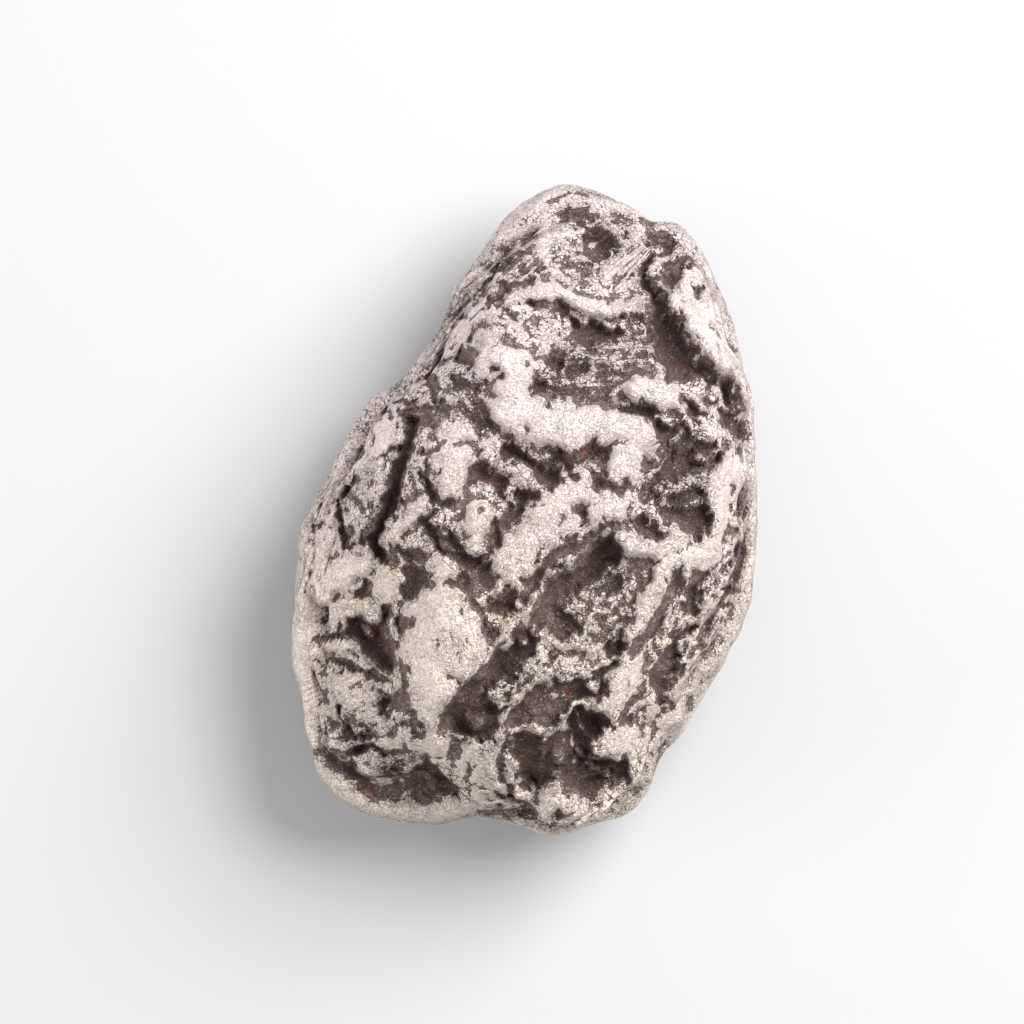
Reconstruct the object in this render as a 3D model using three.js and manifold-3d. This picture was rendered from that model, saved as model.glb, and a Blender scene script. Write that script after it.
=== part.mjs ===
// An iron meteorite, one solid piece, lying on its flattest side.
// Millimetres, +Z up. The origin is under the middle of the stone, on the face that it rests on.
// +Y points to the narrow end. The sculpted side faces up.

import * as THREE from "three";
import { ImprovedNoise } from "three/addons/math/ImprovedNoise.js";
import { mergeVertices } from "three/addons/utils/BufferGeometryUtils.js";
import Module from "manifold-3d";

// Driving dimensions
const stoneWidth = 46.6;
const stoneLength = 65.2;
const stoneHeight = 29.5;

// Form of the plain pebble under the relief
const crownHeight = 17.5; // from the widest level up
const bellyHeight = 12.0; // from the widest level down
const topFade = [-2, 3]; // heights between which the relief of the upper side sets in
const crownRoundness = 2.9; // 2 is an ellipsoid, more is boxier
const bellyRoundness = 2.8;
const restCut = 0.4; // taken off the belly for the resting face
const edgeRound = 1.6; // how softly the flat faces meet the pebble

// The mesh, and the search for the surface along each vertex's own line
const geodesicDetail = 21; // 20 * (detail + 1)^2 triangles
const netSize = [23, 32, 15]; // half sizes of the ball of vertices, before each one settles
const upperShare = 0.22; // moves the net of triangles towards the sculpted side
const lean = 0.15; // how far the relief leans outwards, 0 is straight up
const wallSpread = 1.9; // widens the walls to suit triangles of about a millimetre
const reliefAbove = 4.5;
const reliefBelow = 12.0;
const searchStep = 0.25;
const halvings = 12; // of the last step, to meet the surface

// Waves of the widest level round the stone: height, number of them, and angle where they start
const rimWaves = [
  { high: 1.7, count: 2, start: 0.7 },
  { high: 1.3, count: 3, start: 2.1 },
  { high: 0.7, count: 7, start: 0 },
];

// Flat faces of the stone: the way each one faces in plan, its rise above level, both in degrees,
// and its distance from the middle of the widest level
const faces = [
  { name: "west", turn: 184, rise: 50, away: 18.6 },
  { name: "foot", turn: 255, rise: 45, away: 25.2 },
  { name: "north", turn: 80, rise: 50, away: 21.6 },
  { name: "northWest", turn: 145, rise: 25, away: 17.6 },
  { name: "east", turn: -5, rise: 30, away: 21.6 },
  { name: "southEast", turn: -32, rise: 35, away: 21.0 },
  { name: "top", turn: 60, rise: 84, away: 16.4 },
  { name: "underWest", turn: 205, rise: -50, away: 18.6 },
  { name: "underNorth", turn: 75, rise: -50, away: 22.2 },
  { name: "underEast", turn: -20, rise: -45, away: 18.0 },
  { name: "underSouth", turn: 280, rise: -45, away: 25.4 },
];

// The widest outline, seen from above
const outline = [
  [4.5, 32.5], [7.6, 31.4], [9.6, 30.7], [11.6, 29.8], [12.8, 28.8], [14.2, 29.0], [15.4, 28.2],
  [16.6, 26.7], [17.8, 24.8], [19.1, 22.2], [20.1, 19.7], [20.8, 17.0], [21.6, 14.2], [22.4, 12.0],
  [22.8, 7.5], [23.2, 1.5], [23.3, -1.5], [22.9, -5.2], [22.1, -9.0], [21.1, -12.2], [19.9, -15.0],
  [17.4, -19.0], [15.0, -22.3], [13.2, -25.0], [12.4, -27.6], [10.9, -29.9], [9.0, -30.9],
  [7.0, -31.2], [4.2, -32.4], [1.8, -32.5], [0.0, -31.5], [-3.6, -30.7], [-6.2, -30.5],
  [-9.6, -31.3], [-13.0, -31.1], [-16.6, -30.3], [-19.0, -29.4], [-20.6, -27.4], [-21.8, -24.4],
  [-22.7, -20.6], [-23.2, -16.0], [-23.3, -11.0], [-23.1, -5.4], [-22.1, -0.8], [-20.2, 2.3],
  [-18.3, 6.0], [-16.6, 9.8], [-15.4, 11.6], [-13.4, 12.4], [-11.6, 14.1], [-9.6, 16.5],
  [-8.1, 18.6], [-7.4, 21.6], [-6.2, 23.7], [-4.7, 25.3], [-2.6, 28.4], [-0.6, 30.4], [1.6, 31.9],
];

// Rounded swells on the upper side: a line seen from above, with its half width and height
const swells = [
  {
    name: "northRidge",
    half: 2.5,
    high: 1.6,
    line: [[-3.6, 15.6], [-2.1, 12.6], [-1.2, 10.2], [1.0, 8.6], [3.8, 7.6], [7.4, 8.0], [10.4, 7.6],
      [11.6, 6.0]],
  },
  {
    name: "heartRidge",
    half: 2.2,
    high: 1.5,
    line: [[6.0, 1.9], [3.2, 1.3], [0.9, -1.6], [-1.0, -4.2], [-1.8, -7.0]],
  },
  {
    name: "eastKnob",
    half: 1.7,
    high: 1.3,
    line: [[8.3, 0.1], [6.6, -1.3], [4.8, -2.4]],
  },
  {
    name: "hookRidge",
    half: 1.4,
    high: 1.5,
    line: [[8.9, -2.3], [10.3, -3.4], [12.4, -4.1], [14.4, -3.7], [14.7, -2.6], [13.4, -1.7]],
  },
  {
    name: "hookTail",
    half: 1.4,
    high: 1.1,
    line: [[14.2, -5.2], [12.9, -7.8], [11.4, -10.6], [10.3, -13.2]],
  },
  {
    name: "southWestBulge",
    half: 3.2,
    high: 1.9,
    line: [[-8.3, -8.6], [-9.2, -12.0], [-9.8, -16.0], [-9.9, -20.6]],
  },
  {
    name: "bulgeShoulder",
    half: 2.4,
    high: 1.5,
    line: [[-6.6, -11.0], [-5.6, -13.6]],
  },
  {
    name: "trenchCrest",
    half: 0.9,
    high: 1.3,
    line: [[-4.4, -14.4], [-2.0, -12.8], [0.2, -10.1], [2.2, -7.4], [4.2, -5.8], [5.8, -4.3]],
  },
  {
    name: "middleKnob",
    half: 2.0,
    high: 1.7,
    line: [[-5.4, -0.9], [-4.6, -1.4]],
  },
  {
    name: "northWestPlate",
    half: 2.4,
    high: 1.4,
    line: [[-7.7, 3.4], [-7.2, 6.6], [-6.6, 8.6]],
  },
  {
    name: "westLobe",
    half: 2.4,
    high: 1.7,
    line: [[-13.8, 8.0], [-14.9, 5.0], [-15.7, 1.0], [-16.4, -1.8]],
  },
  {
    name: "northEastKnob",
    half: 1.7,
    high: 1.4,
    line: [[10.6, 12.1], [12.8, 11.9], [14.4, 11.2]],
  },
  {
    name: "earRidge",
    half: 1.9,
    high: 1.6,
    line: [[14.7, 19.4], [16.9, 18.6], [17.9, 16.2], [19.4, 13.8]],
  },
  {
    name: "earCrest",
    half: 0.9,
    high: 0.9,
    line: [[13.3, 24.4], [13.6, 22.8], [13.9, 21.0]],
  },
  {
    name: "crownBoss",
    half: 2.0,
    high: 1.0,
    line: [[9.2, 28.9], [11.0, 28.6]],
  },
  {
    name: "northLip",
    half: 1.3,
    high: 1.1,
    line: [[-1.0, 21.5], [2.2, 21.4], [5.4, 20.4], [8.6, 19.9]],
  },
  {
    name: "eastRim",
    half: 1.5,
    high: 1.3,
    line: [[21.3, 9.6], [20.8, 4.2], [19.4, 0.4], [18.8, -2.6], [17.0, -4.8]],
  },
  {
    name: "southIsland",
    half: 1.5,
    high: 1.5,
    line: [[8.4, -16.6], [9.3, -18.6], [8.9, -21.2], [8.3, -23.4]],
  },
  {
    name: "southBoss",
    half: 2.3,
    high: 1.3,
    line: [[-2.4, -22.8], [-3.2, -25.2], [-2.8, -27.6]],
  },
  {
    name: "footRim",
    half: 1.1,
    high: 1.0,
    line: [[-19.6, -27.0], [-17.0, -29.3], [-13.0, -29.8], [-9.2, -30.0], [-6.4, -29.2]],
  },
  {
    name: "westPlate",
    half: 1.6,
    high: 1.2,
    line: [[-13.7, -6.4], [-13.3, -7.3]],
  },
  {
    name: "westArm",
    half: 1.4,
    high: 1.2,
    line: [[-13.0, -3.0], [-12.3, -1.2], [-11.1, 0.7]],
  },
  {
    name: "squareBoss",
    half: 1.3,
    high: 1.1,
    line: [[-8.8, -5.8], [-7.6, -6.6]],
  },
  {
    name: "southKnob",
    half: 1.5,
    high: 1.0,
    line: [[3.2, -28.6], [4.6, -28.9]],
  },
  {
    name: "footEyelid",
    half: 1.4,
    high: 0.9,
    line: [[-16.0, -24.9], [-13.6, -25.5], [-11.6, -25.0]],
  },
  {
    name: "westLedgeA",
    half: 1.4,
    high: 0.9,
    line: [[-20.6, -8.4], [-17.8, -6.7], [-16.2, -6.2]],
  },
  {
    name: "westLedgeB",
    half: 1.0,
    high: 0.9,
    line: [[-21.2, -13.7], [-18.6, -13.4], [-17.2, -13.5]],
  },
  {
    name: "westLedgeC",
    half: 1.6,
    high: 0.9,
    line: [[-19.8, -18.0], [-16.4, -18.4], [-14.0, -20.8]],
  },
];

// Broad steps down on the upper side, with a soft wall
const steps = [
  {
    name: "westSlope",
    deep: 1.6,
    wall: 1.6,
    outline: [[-26.0, -2.0], [-17.6, -3.0], [-14.2, -4.8], [-13.6, -9.0], [-13.1, -14.0],
      [-12.6, -18.0], [-11.6, -22.4], [-26.0, -24.0]],
  },
  {
    name: "footShelf",
    deep: 3.0,
    wall: 1.3,
    outline: [[-26.0, -24.6], [-19.0, -24.3], [-16.2, -23.6], [-12.4, -23.5], [-9.9, -24.2],
      [-7.4, -27.2], [-5.0, -29.8], [-3.0, -30.2], [-3.0, -36.0], [-26.0, -36.0]],
  },
  {
    name: "eastValley",
    deep: 1.4,
    wall: 2.2,
    outline: [[11.8, 26.0], [13.2, 21.0], [16.2, 16.6], [21.6, 11.0], [20.8, 3.0], [19.2, -3.6],
      [14.6, -12.4], [11.2, -14.6], [12.0, -6.4], [11.0, 1.0], [13.2, 7.0], [12.2, 14.0]],
  },
  {
    name: "northWestFlank",
    deep: 1.3,
    wall: 2.4,
    outline: [[-14.0, 14.0], [-8.4, 13.6], [-4.0, 18.6], [1.4, 23.8], [-1.0, 33.0], [-12.0, 30.0]],
  },
  {
    name: "northHollowFloor",
    deep: 1.0,
    wall: 1.2,
    outline: [[0.4, 20.4], [7.0, 18.9], [12.0, 18.6], [12.4, 14.0], [9.4, 12.4], [8.6, 9.9],
      [2.6, 10.0], [0.4, 12.8], [0.0, 16.8]],
  },
];

// Hollows with a steep wall and a nearly flat floor
const hollows = [
  {
    name: "crownNotch",
    deep: 1.3,
    wall: 0.8,
    outline: [[5.9, 27.4], [7.0, 28.3], [9.1, 26.3], [7.6, 25.1], [6.6, 24.3], [6.1, 25.6]],
  },
  {
    name: "earHollow",
    deep: 1.2,
    wall: 0.8,
    outline: [[13.1, 27.6], [14.8, 27.4], [15.8, 25.0], [15.8, 23.2], [14.6, 22.2], [13.9, 23.6],
      [13.4, 25.0]],
  },
  {
    name: "earTrench",
    deep: 1.9,
    wall: 0.9,
    outline: [[11.6, 24.6], [12.8, 22.2], [13.4, 21.6], [13.8, 19.6], [15.4, 17.5], [16.1, 16.0],
      [18.0, 13.8], [20.6, 11.4], [20.8, 10.0], [18.6, 10.4], [16.6, 9.2], [15.6, 9.6], [15.0, 11.6],
      [12.9, 13.6], [12.0, 15.6], [12.0, 18.4], [12.0, 20.6]],
  },
  {
    name: "northHollow",
    deep: 1.9,
    wall: 0.8,
    outline: [[3.2, 20.3], [4.1, 19.2], [5.6, 18.5], [7.0, 19.0], [9.4, 18.2], [9.2, 17.0],
      [7.0, 16.3], [4.9, 16.3], [4.0, 17.8]],
  },
  {
    name: "lipUndercut",
    deep: 1.4,
    wall: 0.6,
    outline: [[8.6, 18.7], [10.2, 19.0], [12.0, 19.0], [12.2, 18.0], [10.2, 18.0]],
  },
  {
    name: "westOfFloor",
    deep: 1.2,
    wall: 0.7,
    outline: [[0.7, 13.0], [1.8, 12.4], [3.3, 11.2], [3.2, 10.2], [2.0, 10.2], [0.8, 11.6]],
  },
  {
    name: "floorSlot",
    deep: 1.1,
    wall: 0.6,
    outline: [[3.6, 13.4], [5.4, 14.1], [6.6, 14.0], [5.8, 13.1], [4.2, 12.9]],
  },
  {
    name: "underKnob",
    deep: 1.7,
    wall: 0.8,
    outline: [[8.4, 9.6], [10.6, 10.1], [12.0, 10.9], [14.5, 10.8], [14.9, 7.8], [13.2, 7.1],
      [12.3, 8.8], [10.6, 9.6], [9.0, 9.2]],
  },
  {
    name: "eastBasin",
    deep: 2.2,
    wall: 0.9,
    outline: [[11.3, 0.9], [12.5, 3.0], [14.2, 5.9], [16.6, 8.8], [18.4, 8.6], [20.6, 8.8],
      [20.9, 7.7], [19.4, 6.8], [20.2, 5.3], [19.0, 2.3], [18.1, 0.2], [18.3, -1.2], [17.2, -3.3],
      [16.2, -3.5], [14.8, -1.7], [12.4, -0.2]],
  },
  {
    name: "hookHollow",
    deep: 1.4,
    wall: 0.7,
    outline: [[10.2, -0.2], [11.8, 0.2], [12.1, -1.6], [13.0, -2.8], [11.8, -3.1], [10.4, -2.0]],
  },
  {
    name: "crestGroove",
    deep: 1.2,
    wall: 0.6,
    outline: [[9.2, -1.7], [7.0, -1.8], [4.9, -3.0], [2.6, -4.5], [0.8, -6.8], [1.5, -7.2],
      [3.2, -5.2], [5.6, -3.7], [8.6, -2.3]],
  },
  {
    name: "trenchHead",
    deep: 2.6,
    wall: 0.9,
    outline: [[7.8, -2.7], [6.2, -3.8], [4.9, -5.7], [2.5, -7.4], [0.8, -9.6], [-1.0, -11.8],
      [0.4, -12.8], [2.4, -11.5], [4.4, -12.6], [5.2, -10.8], [2.8, -9.8], [5.0, -8.4], [7.2, -7.0],
      [9.0, -5.0]],
  },
  {
    name: "trenchFoot",
    deep: 2.8,
    wall: 1.0,
    outline: [[-1.0, -11.8], [-3.0, -14.2], [-5.2, -16.2], [-7.4, -18.4], [-8.5, -20.8], [-7.6, -21.6],
      [-5.4, -22.4], [-3.6, -22.4], [-1.4, -20.9], [-1.8, -19.2], [-3.4, -17.8], [-2.2, -15.2],
      [0.2, -12.8]],
  },
  {
    name: "innerPit",
    deep: 1.2,
    wall: 0.6,
    outline: [[7.4, -7.4], [8.4, -6.3], [9.7, -6.6], [9.4, -7.8], [8.2, -8.4]],
  },
  {
    name: "saddlePit",
    deep: 1.2,
    wall: 0.7,
    outline: [[6.6, -12.6], [8.2, -13.5], [10.0, -13.5], [9.4, -14.3], [7.6, -15.1], [7.1, -14.0]],
  },
  {
    name: "southBasin",
    deep: 2.4,
    wall: 0.9,
    outline: [[2.6, -14.2], [5.6, -14.1], [7.0, -15.4], [7.3, -18.2], [8.1, -20.4], [6.9, -22.9],
      [7.8, -24.3], [10.1, -24.2], [10.0, -26.7], [8.0, -27.2], [6.2, -29.0], [5.2, -27.9],
      [3.2, -27.0], [1.4, -27.7], [0.0, -26.6], [-1.7, -23.8], [-1.2, -21.2], [-1.2, -19.2],
      [1.0, -17.0], [2.7, -15.6]],
  },
  {
    name: "eastGroove",
    deep: 1.9,
    wall: 0.8,
    outline: [[15.2, -11.7], [16.5, -11.3], [15.3, -13.6], [15.3, -15.4], [13.5, -18.4], [12.4, -18.6],
      [12.2, -17.0], [13.4, -14.2]],
  },
  {
    name: "rimGroove",
    deep: 1.2,
    wall: 0.7,
    outline: [[20.6, -3.0], [21.4, -3.8], [20.8, -6.8], [19.9, -9.6], [19.3, -8.6], [19.9, -5.2]],
  },
  {
    name: "strataValley",
    deep: 1.1,
    wall: 0.8,
    outline: [[16.4, -7.2], [14.2, -10.2], [11.2, -13.6], [11.6, -15.0], [13.6, -12.6], [16.4, -9.6],
      [17.4, -7.0]],
  },
  {
    name: "beanHollow",
    deep: 1.9,
    wall: 0.7,
    outline: [[-2.6, 6.6], [-1.2, 6.4], [0.8, 4.9], [3.3, 3.8], [3.2, 2.8], [2.1, 1.9], [1.1, 3.2],
      [-0.8, 5.0]],
  },
  {
    name: "crescentHollow",
    deep: 1.6,
    wall: 0.7,
    outline: [[-5.7, 2.5], [-4.3, 4.1], [-2.4, 3.3], [-1.7, 1.8], [-3.0, 0.9], [-3.7, 2.1]],
  },
  {
    name: "notchHollow",
    deep: 1.5,
    wall: 0.6,
    outline: [[-0.8, 1.9], [1.2, 1.9], [0.4, 0.4], [-1.0, -0.8], [-2.8, -1.2], [-1.0, 0.3]],
  },
  {
    name: "knobMoat",
    deep: 1.5,
    wall: 0.7,
    outline: [[-8.5, 0.6], [-7.0, 1.7], [-7.4, -0.6], [-6.4, -2.9], [-5.4, -4.2], [-3.0, -3.6],
      [-3.2, -7.2], [-5.1, -9.4], [-6.6, -7.6], [-6.6, -5.6], [-8.8, -4.4], [-10.4, -1.6]],
  },
  {
    name: "westPlateHollow",
    deep: 1.3,
    wall: 0.7,
    outline: [[-13.0, -4.2], [-11.2, -3.0], [-10.0, -4.8], [-9.8, -6.9], [-11.6, -8.5], [-12.3, -7.2],
      [-11.9, -5.0]],
  },
  {
    name: "cavern",
    deep: 2.8,
    wall: 0.9,
    outline: [[-17.6, -10.8], [-15.4, -10.3], [-13.9, -9.0], [-13.1, -9.6], [-13.1, -15.8],
      [-14.4, -16.0], [-16.2, -14.4], [-17.4, -12.4]],
  },
  {
    name: "ledgePocket",
    deep: 1.3,
    wall: 0.6,
    outline: [[-17.1, -8.4], [-15.8, -7.1], [-14.9, -7.8], [-15.0, -8.9], [-16.8, -9.1]],
  },
  {
    name: "ledgePocketSouth",
    deep: 1.1,
    wall: 0.6,
    outline: [[-18.8, -15.2], [-17.0, -14.7], [-15.7, -16.2], [-17.4, -16.3]],
  },
  {
    name: "nook",
    deep: 1.7,
    wall: 0.7,
    outline: [[-14.7, -19.3], [-13.0, -18.2], [-12.2, -17.1], [-11.4, -19.9], [-13.8, -19.8]],
  },
  {
    name: "lobeCrack",
    deep: 3.0,
    wall: 0.9,
    outline: [[-11.4, 9.0], [-11.0, 6.8], [-11.5, 4.4], [-12.2, 2.0], [-14.0, -0.6], [-14.5, -2.8],
      [-14.0, -4.4], [-15.2, -4.2], [-16.1, -2.9], [-15.0, -1.2], [-13.9, 1.2], [-13.3, 3.4],
      [-12.0, 4.8], [-12.0, 7.6]],
  },
  {
    name: "flankPit",
    deep: 1.6,
    wall: 0.7,
    outline: [[-7.4, 15.8], [-6.0, 16.4], [-4.7, 15.8], [-4.9, 14.7], [-7.4, 14.6]],
  },
  {
    name: "flankSlot",
    deep: 1.0,
    wall: 0.6,
    outline: [[-7.9, 13.3], [-6.4, 13.1], [-4.3, 13.4], [-5.4, 12.0], [-7.2, 11.9]],
  },
  {
    name: "footHollow",
    deep: 2.4,
    wall: 0.8,
    outline: [[-20.0, -25.2], [-18.0, -24.5], [-16.8, -26.2], [-14.2, -26.6], [-11.2, -25.6],
      [-9.8, -25.2], [-6.9, -28.0], [-10.2, -28.8], [-12.4, -28.3], [-15.0, -28.9], [-17.4, -27.6]],
  },
  {
    name: "ledgeCrack",
    deep: 1.1,
    wall: 0.6,
    outline: [[-18.6, -23.4], [-17.4, -22.2], [-14.7, -22.4], [-16.4, -22.9]],
  },
  {
    name: "eastPit",
    deep: 1.3,
    wall: 0.6,
    outline: [[7.8, 2.7], [9.9, 3.8], [9.4, 1.5], [8.6, 1.9]],
  },
  {
    name: "roundPit",
    deep: 1.3,
    wall: 0.6,
    outline: [[-3.5, -9.4], [-1.3, -7.6], [-0.7, -9.2], [-2.2, -10.3]],
  },
  {
    name: "northWestScar",
    deep: 0.9,
    wall: 0.7,
    outline: [[-1.6, 20.5], [0.4, 20.6], [1.4, 19.8], [0.0, 18.6], [-1.8, 18.9]],
  },
];

// Thumbprints on the flanks and the underside, spread on a spiral
const printCount = 90;
const printSpread = 5.2; // reach of one thumbprint
const printDepth = 1.9;
const printEdge = [0.82, 0.96]; // share of the way to the outline where they begin on the upper side
const restRadius = 9.0; // the underside stays plain inside this
const rimKeep = 5.0; // the thumbprints grow shallower within this height of the widest level
const rimLump = 0.4; // share of the lumps that is left at the widest level
const lumpReach = 6.0; // size of the lumps between the thumbprints
const lumpHeight = 1.3;
const printWander = 0.5; // how far the spiral of thumbprints strays from an even turn
const printVary = 0.3; // how much their reach varies

const goldenAngle = Math.PI * (3 - Math.sqrt(5));
const noise = new ImprovedNoise();
const clamp = THREE.MathUtils.clamp;
const smooth = (low, high, value) => THREE.MathUtils.smoothstep(value, low, high);

const polar = outline
  .map(([x, y]) => ({ angle: Math.atan2(y, x), radius: Math.hypot(x, y) }))
  .sort((a, b) => a.angle - b.angle);

// Radius of the outline at an angle, on a smooth curve through its points
function outlineRadius(angle) {
  const count = polar.length;
  let next = polar.findIndex((point) => point.angle > angle);
  if (next < 0) next = count;
  const at = (i) => {
    const turn = Math.floor(i / count);
    const point = polar[i - turn * count];
    return { angle: point.angle + turn * 2 * Math.PI, radius: point.radius };
  };
  const [a, b, c, d] = [at(next - 2), at(next - 1), at(next), at(next + 1)];
  const span = c.angle - b.angle;
  const t = (angle - b.angle) / span;
  const slopeB = ((c.radius - a.radius) / (c.angle - a.angle)) * span;
  const slopeC = ((d.radius - b.radius) / (d.angle - b.angle)) * span;
  const t2 = t * t;
  const t3 = t2 * t;
  return (
    (2 * t3 - 3 * t2 + 1) * b.radius +
    (t3 - 2 * t2 + t) * slopeB +
    (3 * t2 - 2 * t3) * c.radius +
    (t3 - t2) * slopeC
  );
}

// Height of the widest level, which wanders up and down round the stone
function rimHeight(angle) {
  return rimWaves.reduce((sum, { high, count, start }) => sum + high * Math.sin(count * angle + start), 0);
}

// The pebble's size ratio at a point: 1 on its surface
function pebbleRatio(x, y, z) {
  const angle = Math.atan2(y, x);
  const share = Math.hypot(x, y) / outlineRadius(angle);
  const level = z - rimHeight(angle) * share * share;
  const roundness = level > 0 ? crownRoundness : bellyRoundness;
  const height = level > 0 ? crownHeight : bellyHeight;
  return (share ** roundness + (Math.abs(level) / height) ** roundness) ** (1 / roundness);
}

// Moves a point of the unit ball to the pebble's surface
function ontoPebble(place) {
  place.set(netSize[0] * place.x, netSize[1] * place.y, netSize[2] * place.z);
  place.divideScalar(pebbleRatio(place.x, place.y, place.z));
}

const planes = faces.map(({ turn, rise, away }) => {
  const toPole = THREE.MathUtils.degToRad(90 - rise);
  const outwards = new THREE.Vector3().setFromSphericalCoords(1, toPole, THREE.MathUtils.degToRad(turn + 90));
  return new THREE.Plane(new THREE.Vector3(outwards.x, -outwards.z, outwards.y), -away);
});

// Distance out of the pebble with its flat faces, the edges softened
function bodyDistance(point) {
  const size = point.length();
  let distance = size * (1 - 1 / pebbleRatio(point.x, point.y, point.z));
  for (const plane of planes) {
    const beyond = plane.distanceToPoint(point);
    const blend = Math.max(edgeRound - Math.abs(distance - beyond), 0);
    distance = Math.max(distance, beyond) + (blend * blend) / (4 * edgeRound);
  }
  return distance;
}

function distanceToLine(line, x, y) {
  let best = Infinity;
  for (let i = 0; i + 1 < line.length; i++) {
    const [ax, ay] = line[i];
    const [bx, by] = line[i + 1];
    const [wayX, wayY] = [bx - ax, by - ay];
    const along = clamp(((x - ax) * wayX + (y - ay) * wayY) / (wayX ** 2 + wayY ** 2), 0, 1);
    best = Math.min(best, Math.hypot(x - ax - along * wayX, y - ay - along * wayY));
  }
  return best;
}

// Distance into a closed outline, negative outside it
function distanceInside(points, x, y) {
  let inside = false;
  for (let i = 0, j = points.length - 1; i < points.length; j = i++) {
    const [ax, ay] = points[i];
    const [bx, by] = points[j];
    if (ay > y !== by > y && x < ((bx - ax) * (y - ay)) / (by - ay) + ax) inside = !inside;
  }
  const distance = distanceToLine([...points, points[0]], x, y);
  return inside ? distance : -distance;
}

function reachOf(points, margin) {
  const box = new THREE.Box2().setFromPoints(points.map(([x, y]) => new THREE.Vector2(x, y)));
  return box.expandByScalar(margin);
}

for (const swell of swells) swell.box = reachOf(swell.line, swell.half);
for (const dip of [...steps, ...hollows]) {
  dip.wall *= wallSpread;
  dip.box = reachOf(dip.outline, dip.wall);
}

const probe = new THREE.Vector2();

// Height of the upper side's relief over the pebble, seen from above
function upperRelief(x, y) {
  probe.set(x, y);
  let swell = 0;
  for (const { line, half, high, box } of swells) {
    if (!box.containsPoint(probe)) continue;
    const share = distanceToLine(line, x, y) / half;
    if (share < 1) swell = Math.max(swell, high * (1 - share * share) ** 1.5);
  }
  let level = 0;
  for (const { outline: edge, deep, wall, box } of steps) {
    if (box.containsPoint(probe)) level += deep * smooth(-wall, wall, distanceInside(edge, x, y));
  }
  let hollow = 0;
  for (const { outline: edge, deep, wall, box } of hollows) {
    if (!box.containsPoint(probe)) continue;
    hollow = Math.max(hollow, deep * smooth(-0.5 * wall, 0.8 * wall, distanceInside(edge, x, y)));
  }
  return swell - level - hollow;
}

// Centres of the thumbprints, on the pebble's own surface
const prints = Array.from({ length: printCount }, (_, i) => {
  const z = 1 - (2 * (i + 0.5)) / printCount;
  const across = Math.sqrt(1 - z * z);
  const turn = i * goldenAngle + printWander * Math.sin(i * 2.7);
  const centre = new THREE.Vector3(across * Math.cos(turn), across * Math.sin(turn), z);
  ontoPebble(centre);
  return { centre, reach: printSpread * (1 + printVary * Math.sin(i * 1.9)) };
});

// Thumbprints and lumps at a point on the flanks or the underside
function flankRelief(point) {
  const angle = Math.atan2(point.y, point.x);
  const across = Math.hypot(point.x, point.y);
  const flank = point.z > 0 ? smooth(...printEdge, across / outlineRadius(angle)) : 1;
  const plain = point.z < 0 ? smooth(restRadius, restRadius + 6, across) : 1;
  if (flank * plain === 0) return 0;
  let deepest = 0;
  for (const { centre, reach } of prints) {
    const share = centre.distanceTo(point) / reach;
    if (share < 1) deepest = Math.max(deepest, printDepth * (1 - share * share));
  }
  const [x, y, z] = point.clone().divideScalar(lumpReach).toArray();
  const lump = lumpHeight * (noise.noise(x, y, z + 5) + 0.5 * noise.noise(2.1 * x, 2.1 * y, 2.1 * z));
  const clear = smooth(0, rimKeep, Math.abs(point.z - rimHeight(angle)));
  return (lump * (rimLump + (1 - rimLump) * clear) - deepest * clear) * flank * plain;
}

const lowered = new THREE.Vector3();

// How far a point is outside the stone, negative inside
function outside(point) {
  const top = smooth(...topFade, point.z);
  lowered.set(point.x, point.y, point.z - top * upperRelief(point.x, point.y));
  return bodyDistance(lowered) - flankRelief(point);
}

// Moves a point of the pebble along its own line to the stone's outermost surface
function settle(base) {
  const line = new THREE.Vector3(lean * base.x, lean * base.y, base.z).normalize();
  const at = (way) => base.clone().addScaledVector(line, way);
  let out = reliefAbove;
  let into = out;
  while (into > -reliefBelow && outside(at(into)) > 0) {
    out = into;
    into -= searchStep;
  }
  for (let i = 0; i < halvings; i++) {
    const middle = (out + into) / 2;
    if (outside(at(middle)) > 0) out = middle;
    else into = middle;
  }
  return at((out + into) / 2);
}

function weld(geometry) {
  geometry.deleteAttribute("normal");
  geometry.deleteAttribute("uv");
  return mergeVertices(geometry, 1e-4);
}

function makeStone() {
  const stone = weld(new THREE.IcosahedronGeometry(1, geodesicDetail));
  const places = stone.getAttribute("position");
  const place = new THREE.Vector3();
  for (let i = 0; i < places.count; i++) {
    place.fromBufferAttribute(places, i);
    place.z += upperShare * (1 - place.z * place.z);
    ontoPebble(place);
    places.setXYZ(i, ...settle(place).toArray());
  }
  return stone;
}

// Scales the stone to its driving dimensions, with its lowest point at the depth of the resting cut
function fitToSize(geometry) {
  geometry.computeBoundingBox();
  const { min, max } = geometry.boundingBox;
  const size = max.clone().sub(min);
  geometry.translate(-(min.x + max.x) / 2, -(min.y + max.y) / 2, -min.z);
  geometry.scale(stoneWidth / size.x, stoneLength / size.y, (stoneHeight + restCut) / size.z);
  return geometry.translate(0, 0, -restCut);
}

const wasm = await Module();
wasm.setup();

function solidOf(geometry) {
  return new wasm.Manifold(
    new wasm.Mesh({
      numProp: 3,
      vertProperties: new Float32Array(geometry.getAttribute("position").array),
      triVerts: new Uint32Array(geometry.index.array),
    }),
  );
}

function geometryOf(solid) {
  const { vertProperties, triVerts } = solid.getMesh();
  const geometry = new THREE.BufferGeometry();
  geometry.setAttribute("position", new THREE.BufferAttribute(vertProperties, 3));
  geometry.setIndex(new THREE.BufferAttribute(triVerts, 1));
  geometry.computeVertexNormals();
  return geometry;
}

// Cuts the belly level at z = 0
function cutRestingFace(geometry) {
  const ground = weld(new THREE.BoxGeometry(2 * stoneWidth, 2 * stoneLength, 20));
  ground.translate(0, 0, -10);
  return geometryOf(solidOf(geometry).subtract(solidOf(ground)));
}

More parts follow.
